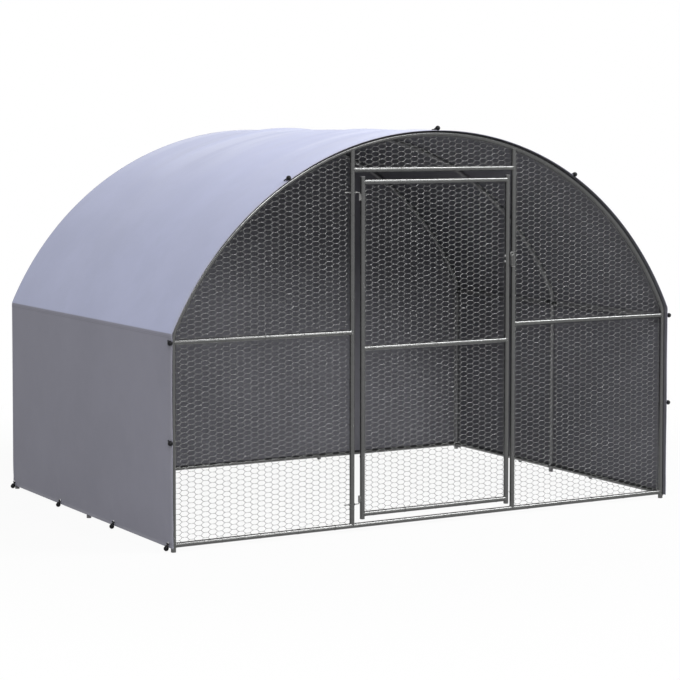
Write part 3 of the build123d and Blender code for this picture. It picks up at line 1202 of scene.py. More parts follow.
@dataclass
class CoverTies:
    """Elastic loops with a ball, and the eyelets that they pass through."""

    ties: Sequence[Tie]
    ball_radius: float
    ball_arc: Span = (math.pi - 0.12, 0.5)
    ball_steps: int = 15
    ball_sides: int = 20
    collar: tuple[Span, ...] = ((0.46, 0.92), (0.46, 1.12), (0.276, 1.16))
    cord_radius: float = 0.0028
    cord_sides: int = 8
    bar_stops: tuple[float, ...] = (-0.011, -0.004, 0.004, 0.011)
    eyelet_radius: float = 0.0085
    eyelet_sides: int = 24
    eyelet_shares: tuple[float, ...] = (1.0, 1.0, 0.82, 0.62, 0.5)
    eyelet_heights: tuple[float, ...] = (-0.0002, 0.0006, 0.0015, 0.0013, -0.0012)

    def balls(self, plastic: Material, elastic: Material) -> Piece:
        """Builds the balls and their elastic loops.

        Args:
            plastic: Finish of the balls.
            elastic: Finish of the loops.

        Returns:
            All of them as one piece.
        """
        bag = MeshBag()
        for tie in self.ties:
            self._ball(bag, tie)
            self._loop(bag, tie)
        made = bag.piece("cover_ties", [plastic, elastic])
        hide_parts("tie_beads")
        return made

    def _ball(self, bag: MeshBag, tie: Tie) -> None:
        """Adds a ball with a collar on the side of its loop.

        Args:
            bag: Takes the ball.
            tie: The tie.
        """
        angles = np.linspace(*self.ball_arc, self.ball_steps)
        shares = [*zip(np.sin(angles), np.cos(angles)), *self.collar]
        profile = [(self.ball_radius * wide, self.ball_radius * high) for wide, high in shares]
        bag.lathe(profile, tie.ball, tie.eyelet - tie.ball, self.ball_sides)

    def _loop(self, bag: MeshBag, tie: Tie) -> None:
        """Adds the two strands from a ball to its eyelet, and the loop's end across the eyelet.

        Args:
            bag: Takes the strands.
            tie: The tie.
        """
        ball, eyelet, pull = tie.ball, tie.eyelet, tie.pull
        side = np.cross(pull, tie.outward)
        lift = tie.outward * self.cord_radius
        for way in (-side, side):
            wide = way * self.ball_radius
            narrow = way * self.cord_radius
            stops = [
                ball + wide * 0.72,
                ball - pull * (self.ball_radius * 0.8) + wide * 0.66,
                eyelet + pull * (self.eyelet_radius * 0.9) + lift * 1.4 + narrow * 1.2,
                eyelet + lift * 0.9 + narrow * 0.8,
                eyelet - lift * 1.2 + narrow * 0.6,
            ]
            bag.tube(self._curve(stops), self.cord_radius, self.cord_sides, slot=1)
        bar = [eyelet + side * step + lift for step in self.bar_stops]
        bag.tube(self._curve(bar), self.cord_radius * 1.1, self.cord_sides, slot=1)

    @staticmethod
    def _curve(stops: Sequence[np.ndarray], steps: int = 6) -> np.ndarray:
        """Draws a smooth line through points.

        Args:
            stops: The points.
            steps: Parts between two of them.

        Returns:
            Points along the line.
        """
        spots = [2 * stops[0] - stops[1], *stops, 2 * stops[-1] - stops[-2]]
        line = []
        for a, b, c, d in zip(spots, spots[1:], spots[2:], spots[3:]):
            for share in np.arange(steps) / steps:
                rise = (c - a) * share + (2 * a - 5 * b + 4 * c - d) * share**2
                line.append(b + 0.5 * (rise + (3 * b - a - 3 * c + d) * share**3))
        return np.array([*line, stops[-1]])

    def eyelets(self, metal: Material) -> Piece:
        """Builds the pressed metal eyelets.

        Args:
            metal: Their finish.

        Returns:
            All of them as one piece.
        """
        bag = MeshBag()
        profile = [
            (self.eyelet_radius * share, height)
            for share, height in zip(self.eyelet_shares, self.eyelet_heights)
        ]
        for tie in self.ties:
            bag.lathe(profile, tie.eyelet, tie.outward, self.eyelet_sides)
        return bag.piece("cover_eyelets", [metal])


# Netting


@dataclass
class HexNetting:
    """Twisted wire netting: wires run level, and each twists with the wire above and below in turn."""

    material: Material
    depth: float
    column: float = 0.038
    row: float = 0.0251
    twist: float = 0.025
    wire: float = 0.00115
    strand: float = 0.00064
    lay: float = 0.0005
    border: float = 0.0016
    border_sides: int = 6
    turns: float = 1.5
    rings: int = 7
    halvings: int = 12

    def panel(self, node: str, inside: Region, edge: np.ndarray) -> Piece:
        """Builds one panel of netting.

        Args:
            node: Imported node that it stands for.
            inside: Tells which places (x, z) lie on the panel.
            edge: Closed outline (x, z) that the border wire follows.

        Returns:
            The panel.
        """
        low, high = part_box(node)
        columns = np.arange(math.floor(low.x / self.column) - 1, math.ceil(high.x / self.column) + 2)
        rows = np.arange(math.floor(low.z / self.row) - 1, math.ceil(high.z / self.row) + 2)
        grid_column, grid_row = (grid.ravel() for grid in np.meshgrid(columns, rows, indexing="ij"))
        middle = np.stack([grid_column, grid_row + 0.5 * (grid_column % 2)], -1) * (self.column, self.row)
        left = middle - (self.twist / 2, 0.0)
        right = middle + (self.twist / 2, 0.0)
        starts_in, ends_in = inside(*left.T), inside(*right.T)
        whole = starts_in & ends_in
        part = starts_in ^ ends_in
        bag = MeshBag()
        self._twists(bag, middle[whole])
        self._straights(bag, left[part], right[part], inside)
        for way in (-1, 1):
            slope = (self.column - self.twist, way * self.row / 2)
            self._straights(bag, right, right + slope, inside)
        bag.tube(in_space(edge[:, 0], self.depth, edge[:, 1]), self.border, self.border_sides, closed=True)
        made = bag.piece(f"{node}_wire", [self.material])
        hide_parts(node)
        return made

    def _twists(self, bag: MeshBag, places: np.ndarray) -> None:
        """Adds the level stretches, where two wires wind round each other.

        Args:
            bag: Takes the wires.
            places: Middles (x, z) of the stretches.
        """
        along = np.linspace(-1.0, 1.0, self.rings)
        corners = np.array([BACK, UP, -BACK, -UP]) * self.strand
        centres = in_space(places[:, 0], self.depth, places[:, 1])
        for strand in (0.0, math.pi):
            angle = strand + along * math.pi * self.turns / 2
            line = in_space(along * self.twist / 2, np.cos(angle) * self.lay, np.sin(angle) * self.lay)
            ring = (line[:, None] + corners[None]).reshape(-1, 3)
            bag.repeat(centres[:, None] + ring[None], ring_quads(self.rings, len(corners)))

    def _straights(self, bag: MeshBag, start: np.ndarray, end: np.ndarray, inside: Region) -> None:
        """Adds single wires, cut where they leave the panel.

        Args:
            bag: Takes the wires.
            start: First ends (x, z).
            end: Second ends (x, z).
            inside: Tells which places lie on the panel.
        """
        starts_in, ends_in = inside(*start.T), inside(*end.T)
        inner = np.where(starts_in[:, None], start, end)
        run = np.where(starts_in[:, None], end, start) - inner
        low, high = np.zeros(len(inner)), np.ones(len(inner))
        for _ in range(self.halvings):
            share = (low + high) / 2
            good = inside(*(inner + run * share[:, None]).T)
            low, high = np.where(good, share, low), np.where(good, high, share)
        run = run * np.where(starts_in & ends_in, 1.0, low)[:, None]
        length = np.linalg.norm(run, axis=1)
        keep = (starts_in | ends_in) & (length > self.wire)
        inner, run, length = inner[keep], run[keep], length[keep]
        across = np.stack([-run[:, 1], run[:, 0]], -1) * (self.wire / length)[:, None]
        rings = []
        for spot in (inner, inner + run):
            for side, deep in ((1, 0), (0, 1), (-1, 0), (0, -1)):
                flat = spot + across * side
                rings.append(in_space(flat[:, 0], self.depth + deep * self.wire, flat[:, 1]))
        bag.repeat(np.stack(rings, 1), ring_quads(2, len(rings) // 2))


@dataclass
class FrontPanels:
    """The four netted panels of the front."""

    frame: RunFrame
    netting: HexNetting
    arc_steps: int = 60

    def build(self) -> dict[str, Piece]:
        """Builds every panel.

        Returns:
            Each panel by the node that it stands for.
        """
        made = {node: self._arched(node) for node in ("left_net", "right_net", "over_door_net")}
        made["door_net"] = self._square("door_net")
        return made

    def _arched(self, node: str) -> Piece:
        """Builds a panel under the arch.

        Args:
            node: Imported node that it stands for.

        Returns:
            The panel.
        """
        low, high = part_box(node)
        centre = self.frame.arch_centre_z
        peak = 0.0 if low.x < 0 < high.x else min(abs(low.x), abs(high.x))
        radius = math.hypot(peak, high.z - centre)

        def inside(x: np.ndarray, z: np.ndarray) -> np.ndarray:
            """True on the panel."""
            return (x > low.x) & (x < high.x) & (z > low.z) & (x**2 + (z - centre) ** 2 < radius**2)

        x = np.linspace(high.x, low.x, self.arc_steps)
        arc = np.stack([x, centre + np.sqrt(radius**2 - x**2)], -1)
        foot = np.array([[low.x, low.z], [high.x, low.z]])
        return self.netting.panel(node, inside, self._spread(np.concatenate([arc, foot])))

    def _square(self, node: str) -> Piece:
        """Builds a panel with four straight sides.

        Args:
            node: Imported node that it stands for.

        Returns:
            The panel.
        """
        low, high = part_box(node)

        def inside(x: np.ndarray, z: np.ndarray) -> np.ndarray:
            """True on the panel."""
            return (x > low.x) & (x < high.x) & (z > low.z) & (z < high.z)

        corners = np.array([[low.x, low.z], [high.x, low.z], [high.x, high.z], [low.x, high.z]])
        return self.netting.panel(node, inside, self._spread(corners))

    @staticmethod
    def _spread(corners: np.ndarray, step: float = 0.06) -> np.ndarray:
        """Adds points along the long sides of an outline.

        Args:
            corners: Corners of the outline.
            step: Largest distance between points.

        Returns:
            Points round the outline.
        """
        line = []
        for start, end in zip(corners, np.roll(corners, -1, 0)):
            parts = max(1, int(np.linalg.norm(end - start) / step))
            line += [start + (end - start) * share for share in np.arange(parts) / parts]
        return np.array(line)


@dataclass
class NetClips:
    """Rings of tie wire that hold the netting's border to the tubes."""

    frame: RunFrame
    material: Material
    border: float
    wire: float = 0.0008
    spacing: float = 0.21
    post_ends: Span = (0.07, 0.06)
    jamb_ends: Span = (0.08, 0.12)
    rail_ends: Span = (0.06, 0.06)
    header_ends: Span = (0.07, 0.07)
    stile_ends: Span = (0.09, 0.09)
    sill_ends: Span = (0.1, 0.05)
    arch_end: float = 0.06
    steps: int = 28
    bulge: float = 0.5
    tail: float = 0.009
    tail_way: Point = (0.8, 0.5, 0.35)
    tail_twist: Point = (1.45, 0.3, 12.0)
    tail_steps: int = 7

    def build_frame(self) -> Piece:
        """Builds the rings on the frame.

        Returns:
            All of them as one piece.
        """
        bag = MeshBag()
        frame = self.frame
        for side in SIDES:
            self._row(bag, f"front_{side}_post", *self.post_ends)
            self._row(bag, f"{side}_jamb", *self.jamb_ends)
            self._row(bag, f"{side}_mid_rail", *self.rail_ends)
        self._row(bag, "header", *self.header_ends)
        jamb_x = abs(tube_axis("left_jamb")[0][0])
        first, last = self.sill_ends
        for side in (-1, 1):
            for x in np.arange(jamb_x + first, frame.half_span - last, self.spacing):
                self._ring(bag, np.array([side * x, frame.front_y, frame.sill_z]), RIGHT)
        hoop = frame.hoop
        reaches = np.arange(-hoop.half_arch + self.arch_end, hoop.half_arch, self.spacing)
        for (x, z), (out_x, out_z) in zip(*hoop.at(reaches)):
            self._ring(bag, np.array([x, frame.front_y, z]), np.array([out_z, 0.0, -out_x]))
        return bag.piece("frame_net_clips", [self.material])

    def build_door(self) -> Piece:
        """Builds the rings on the door.

        Returns:
            All of them as one piece.
        """
        bag = MeshBag()
        for stile in STILES:
            self._row(bag, stile, *self.stile_ends)
        for rail in DOOR_RAILS:
            self._row(bag, rail, *self.rail_ends)
        return bag.piece("door_net_clips", [self.material])

    def _row(self, bag: MeshBag, node: str, first: float, last: float) -> None:
        """Adds rings along a straight tube.

        Args:
            bag: Takes the rings.
            node: The tube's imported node.
            first: Distance of the first ring from the tube's lower end.
            last: Least distance of the last ring from the upper end.
        """
        low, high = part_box(node)
        middle, axis = tube_axis(node)
        along = np.eye(3)[axis]
        count = max(2, round((high[axis] - low[axis] - first - last) / self.spacing) + 1)
        for level in np.linspace(low[axis] + first, high[axis] - last, count):
            place = middle.copy()
            place[axis] = level
            self._ring(bag, place, along)

    def _ring(self, bag: MeshBag, centre: np.ndarray, along: np.ndarray) -> None:
        """Adds one ring round a tube and the border wire behind it, with its twisted tail.

        Args:
            bag: Takes the ring.
            centre: Place on the tube's axis.
            along: Direction of the axis.
        """
        aside = np.cross(along, BACK)
        turn = np.linspace(-math.pi, math.pi, self.steps, endpoint=False)
        near = self.frame.tube_radius + self.wire * 0.6
        behind = self.frame.net_y - self.frame.front_y + self.border + self.wire
        reach = (near + (behind - near) * np.exp(-((turn / self.bulge) ** 2)))[:, None]
        ring = centre + reach * (np.cos(turn)[:, None] * BACK + np.sin(turn)[:, None] * aside)
        bag.tube(ring, self.wire, 5, closed=True)
        share = np.linspace(0.0, 1.0, self.tail_steps)
        way = np.array(self.tail_way) @ np.array([aside, along, BACK])
        tail = centre + BACK * behind + way * (share * self.tail)[:, None]
        wide, ripple, turns = self.tail_twist
        bag.tube(tail, self.wire * (wide + ripple * np.cos(share * turns)), 6)


# Tubes and fittings


@dataclass
class HoopTubes:
    """The three bent arches, as smooth round tube with a swaged end at each post."""

    frame: RunFrame
    material: Material
    dull: Material
    swage: float = 0.0006
    swage_place: float = 0.002
    swage_width: float = 0.0018
    end_steps: tuple[float, ...] = (0.0, 0.0015, 0.003, 0.0045)
    end: float = 0.01
    steps: int = 190
    sides: int = 28

    def build(self) -> list[Piece]:
        """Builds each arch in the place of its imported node.

        Returns:
            The three arches.
        """
        frame = self.frame
        hoop = frame.hoop
        length = hoop.half_length
        ends = np.array(self.end_steps)
        inner = np.linspace(self.end - length, length - self.end, self.steps)
        reach = np.concatenate([ends - length, inner, (length - ends)[::-1]])
        lip = np.exp(-(((length - np.abs(reach) - self.swage_place) / self.swage_width) ** 2))
        points, _ = hoop.at(reach)
        made = []
        for name in HOOPS:
            bag = MeshBag()
            path = in_space(points[:, 0], tube_axis(f"{name}_arch")[0][1], points[:, 1])
            bag.tube(path, frame.tube_radius + self.swage * lip, self.sides)
            # The middle and rear arches, in the shade inside the run, take the shade-matched copy of the
            # zinc.
            piece = bag.piece(f"{name}_arch_tube", [self.material if name == "front" else self.dull])
            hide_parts(f"{name}_arch")
            made.append(piece)
        return made


@dataclass(frozen=True)
class TubeJoint:
    """The end of one tube on the side of another."""

    place: np.ndarray
    branch: np.ndarray
    main: np.ndarray
    seat: float = 0.965

    @classmethod
    def between(cls, branch: str, main: str) -> TubeJoint:
        """Finds where two straight tubes meet.

        Args:
            branch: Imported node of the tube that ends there.
            main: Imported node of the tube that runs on.

        Returns:
            Their joint.
        """
        middle, axis = tube_axis(branch)
        other, through = tube_axis(main)
        way = math.copysign(1.0, middle[axis] - other[axis])
        place = middle.copy()
        place[axis] = other[axis]
        return cls(place, np.eye(3)[axis] * way, np.eye(3)[through])

    def saddle(self, radius: float, turn: np.ndarray) -> np.ndarray:
        """Draws the line where the two skins meet.

        Args:
            radius: Radius of both tubes.
            turn: Angles round the ending tube.

        Returns:
            Points of the line.
        """
        across = np.cross(self.branch, self.main)
        across = across / np.linalg.norm(across)
        level = np.cross(across, self.branch)
        circle = np.cos(turn)[:, None] * level + np.sin(turn)[:, None] * across
        offset = self.seat * radius * circle
        lean = self.branch - self.main * (self.branch @ self.main)
        flat = offset - (offset @ self.main)[:, None] * self.main
        slope = flat @ lean
        gap = slope**2 - (lean @ lean) * ((flat**2).sum(1) - radius**2)
        reach = (np.sqrt(np.maximum(gap, 0.0)) - slope) / (lean @ lean)
        return self.place + offset + reach[:, None] * self.branch


@dataclass
class WeldBeads:
    """Rippled weld beads round the joints of the welded tubes."""

    frame: RunFrame
    material: Material
    bead: float = 0.0019
    ripples: int = 26
    ripple: float = 0.2
    steps: int = 104
    sides: int = 8

    def build_frame(self) -> Piece:
        """Builds the beads on the front frame and the rear sill.

        Returns:
            All of them as one piece.
        """
        pairs = [("header", "left_jamb"), ("header", "right_jamb")]
        for side in SIDES:
            pairs += [(f"{side}_mid_rail", f"front_{side}_post"), (f"{side}_mid_rail", f"{side}_jamb")]
            pairs += [("front_sill", f"front_{side}_post"), ("rear_sill", f"rear_{side}_post")]
            pairs += [(f"{side}_jamb", "front_sill")]
        joints = [TubeJoint.between(*pair) for pair in pairs]
        frame = self.frame
        for side in SIDES:
            x = tube_axis(f"{side}_jamb")[0][0]
            rise = math.sqrt(frame.arch_radius**2 - x**2)
            along = np.array([rise, 0.0, -x]) / frame.arch_radius
            top = np.array([x, frame.front_y, frame.arch_centre_z + rise])
            joints.append(TubeJoint(top, -UP, along))
        return self._beads("frame_welds", joints)

    def build_door(self) -> Piece:
        """Builds the beads at the door's corners and middle rail.

        Returns:
            All of them as one piece.
        """
        joints = [TubeJoint.between(rail, stile) for rail in DOOR_RAILS for stile in STILES]
        return self._beads("door_welds", joints)

    def _beads(self, name: str, joints: Iterable[TubeJoint]) -> Piece:
        """Builds a bead round each joint.

        Args:
            name: Name of the piece.
            joints: The joints.

        Returns:
            The beads as one piece.
        """
        turn = angles_round(self.steps)
        radius = self.bead * (1.0 + self.ripple * np.cos(turn * self.ripples))
        bag = MeshBag()
        for joint in joints:
            bag.tube(joint.saddle(self.frame.tube_radius, turn), radius, self.sides, closed=True)
        return bag.piece(name, [self.material])


@dataclass
class RailSockets:
    """Sockets and bolts where the long tubes of the sides and the ridge push onto the hoops."""

    frame: RunFrame
    length: float = 0.046
    wall: float = 0.0011
    flats: float = 0.008
    head: float = 0.0034
    washer: float = 0.0009
    washer_share: float = 0.72
    bolt_share: float = 0.55
    start_share: float = 0.55
    lip_share: float = 0.7
    sides: int = 32

    def joints(self) -> list[tuple[TubeJoint, np.ndarray]]:
        """Lists the pushed joints.

        Returns:
            Each joint and the direction in which its bolt looks.
        """
        found = []
        for bay, hoops in (("front", HOOPS[:2]), ("rear", HOOPS[1:])):
            for hoop in hoops:
                found.append((TubeJoint.between(f"{bay}_ridge_tube", f"{hoop}_arch"), -UP))
                for side, inward in zip(SIDES, (RIGHT, -RIGHT)):
                    for rail in ("sill", "eave_rail"):
                        joint = TubeJoint.between(f"{side}_{bay}_{rail}", f"{hoop}_{side}_post")
                        found.append((joint, inward))
        return found

    def sockets(self, metal: Material) -> Piece:
        """Builds the sockets.

        Args:
            metal: Their finish.

        Returns:
            All of them as one piece.
        """
        skin = self.frame.tube_radius
        wide = skin + self.wall
        start = skin * self.start_share
        end = skin + self.length
        lip = self.wall * self.lip_share
        profile = [(wide, start), (wide, end - lip), (wide - lip * 0.4, end - lip * 0.2), (skin, end)]
        bag = MeshBag()
        for joint, _ in self.joints():
            bag.lathe(profile, joint.place, joint.branch, self.sides)
        return bag.piece("rail_sockets", [metal], crease=50.0)

    def bolts(self, metal: Material) -> Piece:
        """Builds the bolts that hold the tubes in their sockets.

        Args:
            metal: Their finish.

        Returns:
            All of them as one piece.
        """
        skin = self.frame.tube_radius
        bag = MeshBag()
        for joint, looks in self.joints():
            along = joint.branch * (skin + self.length * self.bolt_share)
            seat = joint.place + along + looks * (skin + self.wall * 0.6)
            bag.disc(seat, looks, self.flats * self.washer_share, self.washer)
            bag.hexagon(seat + looks * self.washer, looks, self.flats, self.head)
        return bag.piece("socket_bolts", [metal], crease=25.0)


@dataclass
class HookHinges:
    """Two threaded hooks through the left jamb, and the barrels on the door that hang on them."""

    metal: Material
    barrel_length: float = 0.032
    barrel_ease: float = 0.0007
    barrel_sides: int = 28
    bore_gap: float = 0.0003
    pin_start: float = 0.002
    pin_reach: float = 0.042
    bend: float = 0.006
    pitch: float = 0.001
    thread: float = 0.0004
    plain: float = 0.016
    lead: float = 0.75
    lead_steps: int = 4
    pin_end: float = 0.7
    sides: int = 14
    washer: float = 0.001
    washer_share: float = 0.64
    nut: float = 0.005
    flats: float = 0.010
    weld: float = 0.0021
    weld_aside: float = 0.0042
    weld_gap: float = 0.0006
    weld_span: Span = (0.06, 0.94)
    weld_ripple: Span = (0.15, 70.0)
    weld_steps: int = 40
    weld_sides: int = 8

    @property
    def rod_radius(self) -> float:
        """Radius of the hooks' rod."""
        low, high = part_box("hinge_hooks")
        return (high.y - low.y) / 2

    @property
    def levels(self) -> tuple[Span, Span]:
        """Height of each hook's level part, and the way that its pin points."""
        low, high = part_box("hinge_hooks")
        return (low.z + self.rod_radius, 1.0), (high.z - self.rod_radius, -1.0)

    def hooks(self) -> Piece:
        """Builds the bent rods with their rolled threads.

        Returns:
            Both as one piece.
        """
        low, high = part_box("hinge_hooks")
        radius = self.rod_radius
        pin_x = high.x - radius
        corner = pin_x - self.bend
        straight = np.arange(low.x, corner, self.pitch / 6)
        curve = np.linspace(0.0, math.pi / 2, 10)
        pin = np.linspace(self.bend + self.pin_start, self.pin_reach, 8)
        x = np.concatenate([straight, corner + self.bend * np.sin(curve), np.full(len(pin), pin_x)])
        drop = np.concatenate([np.zeros(len(straight)), self.bend * (1.0 - np.cos(curve)), pin])
        phase = (x[:, None] / self.pitch + np.arange(self.sides) / self.sides) % 1.0
        threaded = (x < corner - self.plain)[:, None]
        spread = radius - np.where(threaded, self.thread * np.abs(2.0 * phase - 1.0), 0.0)
        spread[: self.lead_steps] *= np.linspace(self.lead, 1.0, self.lead_steps)[:, None]
        spread[-1] *= self.pin_end
        bag = MeshBag()
        for level, way in self.levels:
            bag.tube(in_space(x, (low.y + high.y) / 2, level + way * drop), spread, self.sides)
        made = bag.piece("hinge_hook_rods", [self.metal], crease=60.0)
        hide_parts("hinge_hooks")
        return made

    def nuts(self) -> Piece:
        """Builds the nuts and washers on both sides of the jamb.

        Returns:
            All of them as one piece.
        """
        low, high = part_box("hinge_nuts")
        y = (low.y + high.y) / 2
        height = self.nut - self.washer
        bag = MeshBag()
        for level, _ in self.levels:
            for x, axis in ((low.x, RIGHT), (high.x, -RIGHT)):
                end = np.array([x, y, level])
                bag.hexagon(end, axis, self.flats, height)
                bag.disc(end + axis * height, axis, self.flats * self.washer_share, self.washer)
        made = bag.piece("hinge_hook_nuts", [self.metal], crease=25.0)
        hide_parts("hinge_nuts")
        return made

    def barrels(self) -> Piece:
        """Builds the barrels, with the weld beads that hold them to the stile.

        Returns:
            Both barrels as one piece.
        """
        low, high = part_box("hinge_barrels")
        centre = tube_axis("hinge_barrels")[0] * (1.0, 1.0, 0.0)
        wide = (high.x - low.x) / 2
        bore = self.rod_radius + self.bore_gap
        ease = self.barrel_ease
        length = self.barrel_length
        profile = [(wide - ease, 0.0), (wide, ease), (wide, length - ease), (wide - ease, length)]
        profile += [(bore + ease, length), (bore, length - ease), (bore, ease), (bore + ease, 0.0)]
        share = np.linspace(0.0, 1.0, self.weld_steps)
        start, end = self.weld_span
        depth, turns = self.weld_ripple
        ripple = self.weld * (1.0 + depth * np.cos(share * turns))
        bag = MeshBag()
        for bottom in (low.z, high.z - length):
            bag.lathe(profile, centre + UP * bottom, UP, self.barrel_sides, closed=True)
            level = bottom + length * (start + (end - start) * share)
            for aside in (-self.weld_aside, self.weld_aside):
                bead = in_space(high.x + self.weld_gap, centre[1] + aside, level)
                bag.tube(bead, ripple, self.weld_sides)
        made = bag.piece("hinge_barrel_tubes", [self.metal], crease=40.0)
        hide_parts("hinge_barrels")
        return made


@dataclass
class DropLatch:
    """The latch on the door's free stile: a ring-headed drop pin, and the bolts that hold its bracket."""

    metal: Material
    bright: Material
    flats: float = 0.008
    head: float = 0.0036
    washer: float = 0.001
    washer_share: float = 0.75
    stub: float = 0.0012
    stub_share: float = 0.3
    bolt_levels: Span = (0.020, 0.048)
    plate: float = 0.002
    sunk: float = 0.0004
    tip: float = 0.003
    tip_share: float = 0.35
    ring_share: float = 1.04
    neck: tuple[Span, ...] = ((1.0, -0.9), (1.3, -0.3), (1.15, 0.3))
    pin_sides: int = 24
    ring_steps: int = 48
    ring_sides: int = 14

    def pin(self) -> Piece:
        """Builds the pin with its chamfered tip and its ring.

        Returns:
            The pin.
        """
        low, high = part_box("latch_pin")
        x, y, _ = tube_axis("latch_pin")[0]
        radius = (high.y - low.y) / 2
        wide = (high.x - low.x) / 2
        ring_wire = radius * self.ring_share
        ring_radius = wide - ring_wire
        ring_z = high.z - wide
        neck_z = ring_z - ring_radius - low.z
        profile = [(radius * self.tip_share, 0.0), (radius, self.tip)]
        profile += [(radius * share, neck_z + ring_wire * rise) for share, rise in self.neck]
        turn = angles_round(self.ring_steps)
        bag = MeshBag()
        bag.lathe(profile, (x, y, low.z), UP, self.pin_sides)
        loop = in_space(x + ring_radius * np.sin(turn), y, ring_z + ring_radius * np.cos(turn))
        bag.tube(loop, ring_wire, self.ring_sides, closed=True)
        made = bag.piece("latch_drop_pin", [self.metal], crease=45.0)
        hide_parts("latch_pin")
        return made

    def bolts(self) -> Piece:
        """Builds the two bolts through the stile, with their nuts on the bracket.

        Returns:
            All of them as one piece.
        """
        bracket_low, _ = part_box("latch_bracket")
        stile_low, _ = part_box("latch_stile")
        y = tube_axis("latch_stile")[0][1]
        plate = bracket_low.x + self.plate
        bag = MeshBag()
        for level in self.bolt_levels:
            z = bracket_low.z + level
            seat = np.array([stile_low.x + self.sunk, y, z])
            bag.disc(seat, -RIGHT, self.flats * self.washer_share, self.washer)
            bag.hexagon(seat - RIGHT * self.washer, -RIGHT, self.flats, self.head)
            bag.hexagon((plate, y, z), RIGHT, self.flats, self.head)
            bag.disc((plate + self.head, y, z), RIGHT, self.flats * self.stub_share, self.stub)
        return bag.piece("latch_bolts", [self.bright], crease=25.0)


@dataclass
class StilePlugs:
    """Domed plugs in the open ends of the door's stiles."""

    material: Material
    dome: float = 0.0028
    skirt: float = 0.0012
    sunk: float = 0.0002
    dome_turn: float = 1.45
    dome_steps: int = 7
    sides: int = 32

    def build(self) -> Piece:
        """Builds the four plugs.

        Returns:
            All of them as one piece.
        """
        bag = MeshBag()
        for stile in STILES:
            low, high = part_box(stile)
            middle, _ = tube_axis(stile)
            radius = (high.x - low.x) / 2
            steps = np.linspace(0.0, self.dome_turn, self.dome_steps)
            crown = [(radius * math.cos(a), self.skirt + self.dome * math.sin(a)) for a in steps]
            for z, way in ((low.z, -UP), (high.z, UP)):
                bag.lathe([(radius, -self.sunk), *crown], (middle[0], middle[1], z), way, self.sides)
        return bag.piece("stile_plugs", [self.material], crease=50.0)


# Stage


@dataclass(frozen=True)
class Lamp:
    """One soft lamp, a flat rectangle of light."""

    name: str
    place: Point
    aim: Point
    size: Span
    power: float
    roll: float = 0.0

    def build(self) -> None:
        """Adds the lamp and points it at its aim."""
        data = bpy.data.lights.new(self.name, "AREA")
        data.shape = "RECTANGLE"
        data.size, data.size_y = self.size
        data.energy = self.power
        lamp = bpy.data.objects.new(self.name, data)
        lamp.location = self.place
        turn = (Vector(self.aim) - Vector(self.place)).to_track_quat("-Z", "Y")
        lamp.rotation_euler = (turn @ Quaternion(UP, self.roll)).to_euler()
        bpy.context.scene.collection.objects.link(lamp)


@dataclass(frozen=True)
class Studio:
    """Pale floor, white surroundings, soft light and the camera."""

    camera_place: Point = (-5.6821, -9.7179, 1.9994)
    turn: float = 0.5149
    dip: float = 0.0571
    lens: float = 108.812
    sensor: float = 36.0
    sight: float = 200.0
    shift: Span = (0.0504, -0.1353)
    sky: float = 0.36
    floor_colour: Colour = (0.45, 0.45, 0.45)
    floor_glow: float = 0.945
    floor_reach: float = 40.0
    shadow_reach: Span = (2.2, 4.2)
    lamps: tuple[Lamp, ...] = (
        Lamp("key", (-4.8, -4.6, 11.5), (0.0, 0.0, 1.0), (2.6, 2.6), 300.0),
        Lamp("over", (7.6, -6.3, 10.8), (0.0, 0.0, 0.8), (6.0, 2.4), 1650.0, -0.7),
        Lamp("left", (-8.4, -14.7, 10.1), (0.0, 0.0, 0.8), (6.0, 6.0), 1560.0),
        Lamp("front", (1.5, -12.0, 6.0), (0.0, 0.0, 0.6), (2.6, 2.6), 600.0),
        Lamp("right", (5.4, -11.2, 4.6), (0.0, 0.0, 1.0), (2.2, 2.2), 200.0),
    )

    def build(self) -> None:
        """Sets up the whole stage."""
        bpy.context.scene.view_settings.view_transform = "Standard"
        self._world()
        self._floor()
        self._camera()
        for lamp in self.lamps:
            lamp.build()

    def _world(self) -> None:
        """White surroundings to the eye, and a softer sky as light."""
        world = bpy.data.worlds.new("surroundings")
        bpy.context.scene.world = world
        graph = NodeGraph(world)
        strength = graph.seen() * (1.0 - self.sky) + self.sky
        sky = graph.node("ShaderNodeBackground", inputs={"Color": WHITE, "Strength": strength})
        graph.node("ShaderNodeOutputWorld", inputs={"Surface": sky})

    def _floor(self) -> None:
        """Pale floor that keeps a soft shadow round the run and turns white further off."""
        bag = MeshBag()
        reach = self.floor_reach
        corners = [(x * reach, y * reach, 0.0) for x, y in ((-1, -1), (1, -1), (1, 1), (-1, 1))]
        bag.add(np.array(corners), np.array([[0, 1, 2, 3]]))
        material = bpy.data.materials.new("pale_floor")
        graph = NodeGraph(material)
        inputs = {0: graph.place()}
        away = graph.node("ShaderNodeVectorMath", {"operation": "LENGTH"}, inputs, output="Value")
        share = away.between(*self.shadow_reach) * (1.0 - self.floor_glow) + self.floor_glow
        matt = graph.node("ShaderNodeBsdfDiffuse", inputs={"Color": self.floor_colour})
        glow = graph.node("ShaderNodeEmission", inputs={"Color": WHITE})
        blend = graph.node("ShaderNodeMixShader", inputs={0: graph.seen() * share, 1: matt, 2: glow})
        graph.node("ShaderNodeOutputMaterial", inputs={"Surface": blend})
        bag.piece("floor", [material])

    def _camera(self) -> None:
        """Adds the camera at the photograph's viewing angle."""
        data = bpy.data.cameras.new("view")
        data.lens = self.lens
        data.sensor_width = self.sensor
        data.shift_x, data.shift_y = self.shift
        data.clip_end = self.sight
        camera = bpy.data.objects.new("view", data)
        camera.location = self.camera_place
        level = math.cos(self.dip)
        ahead = Vector((math.sin(self.turn) * level, math.cos(self.turn) * level, -math.sin(self.dip)))
        camera.rotation_euler = ahead.to_track_quat("-Z", "Y").to_euler()
        bpy.context.scene.collection.objects.link(camera)
        bpy.context.scene.camera = camera


# Putting it together


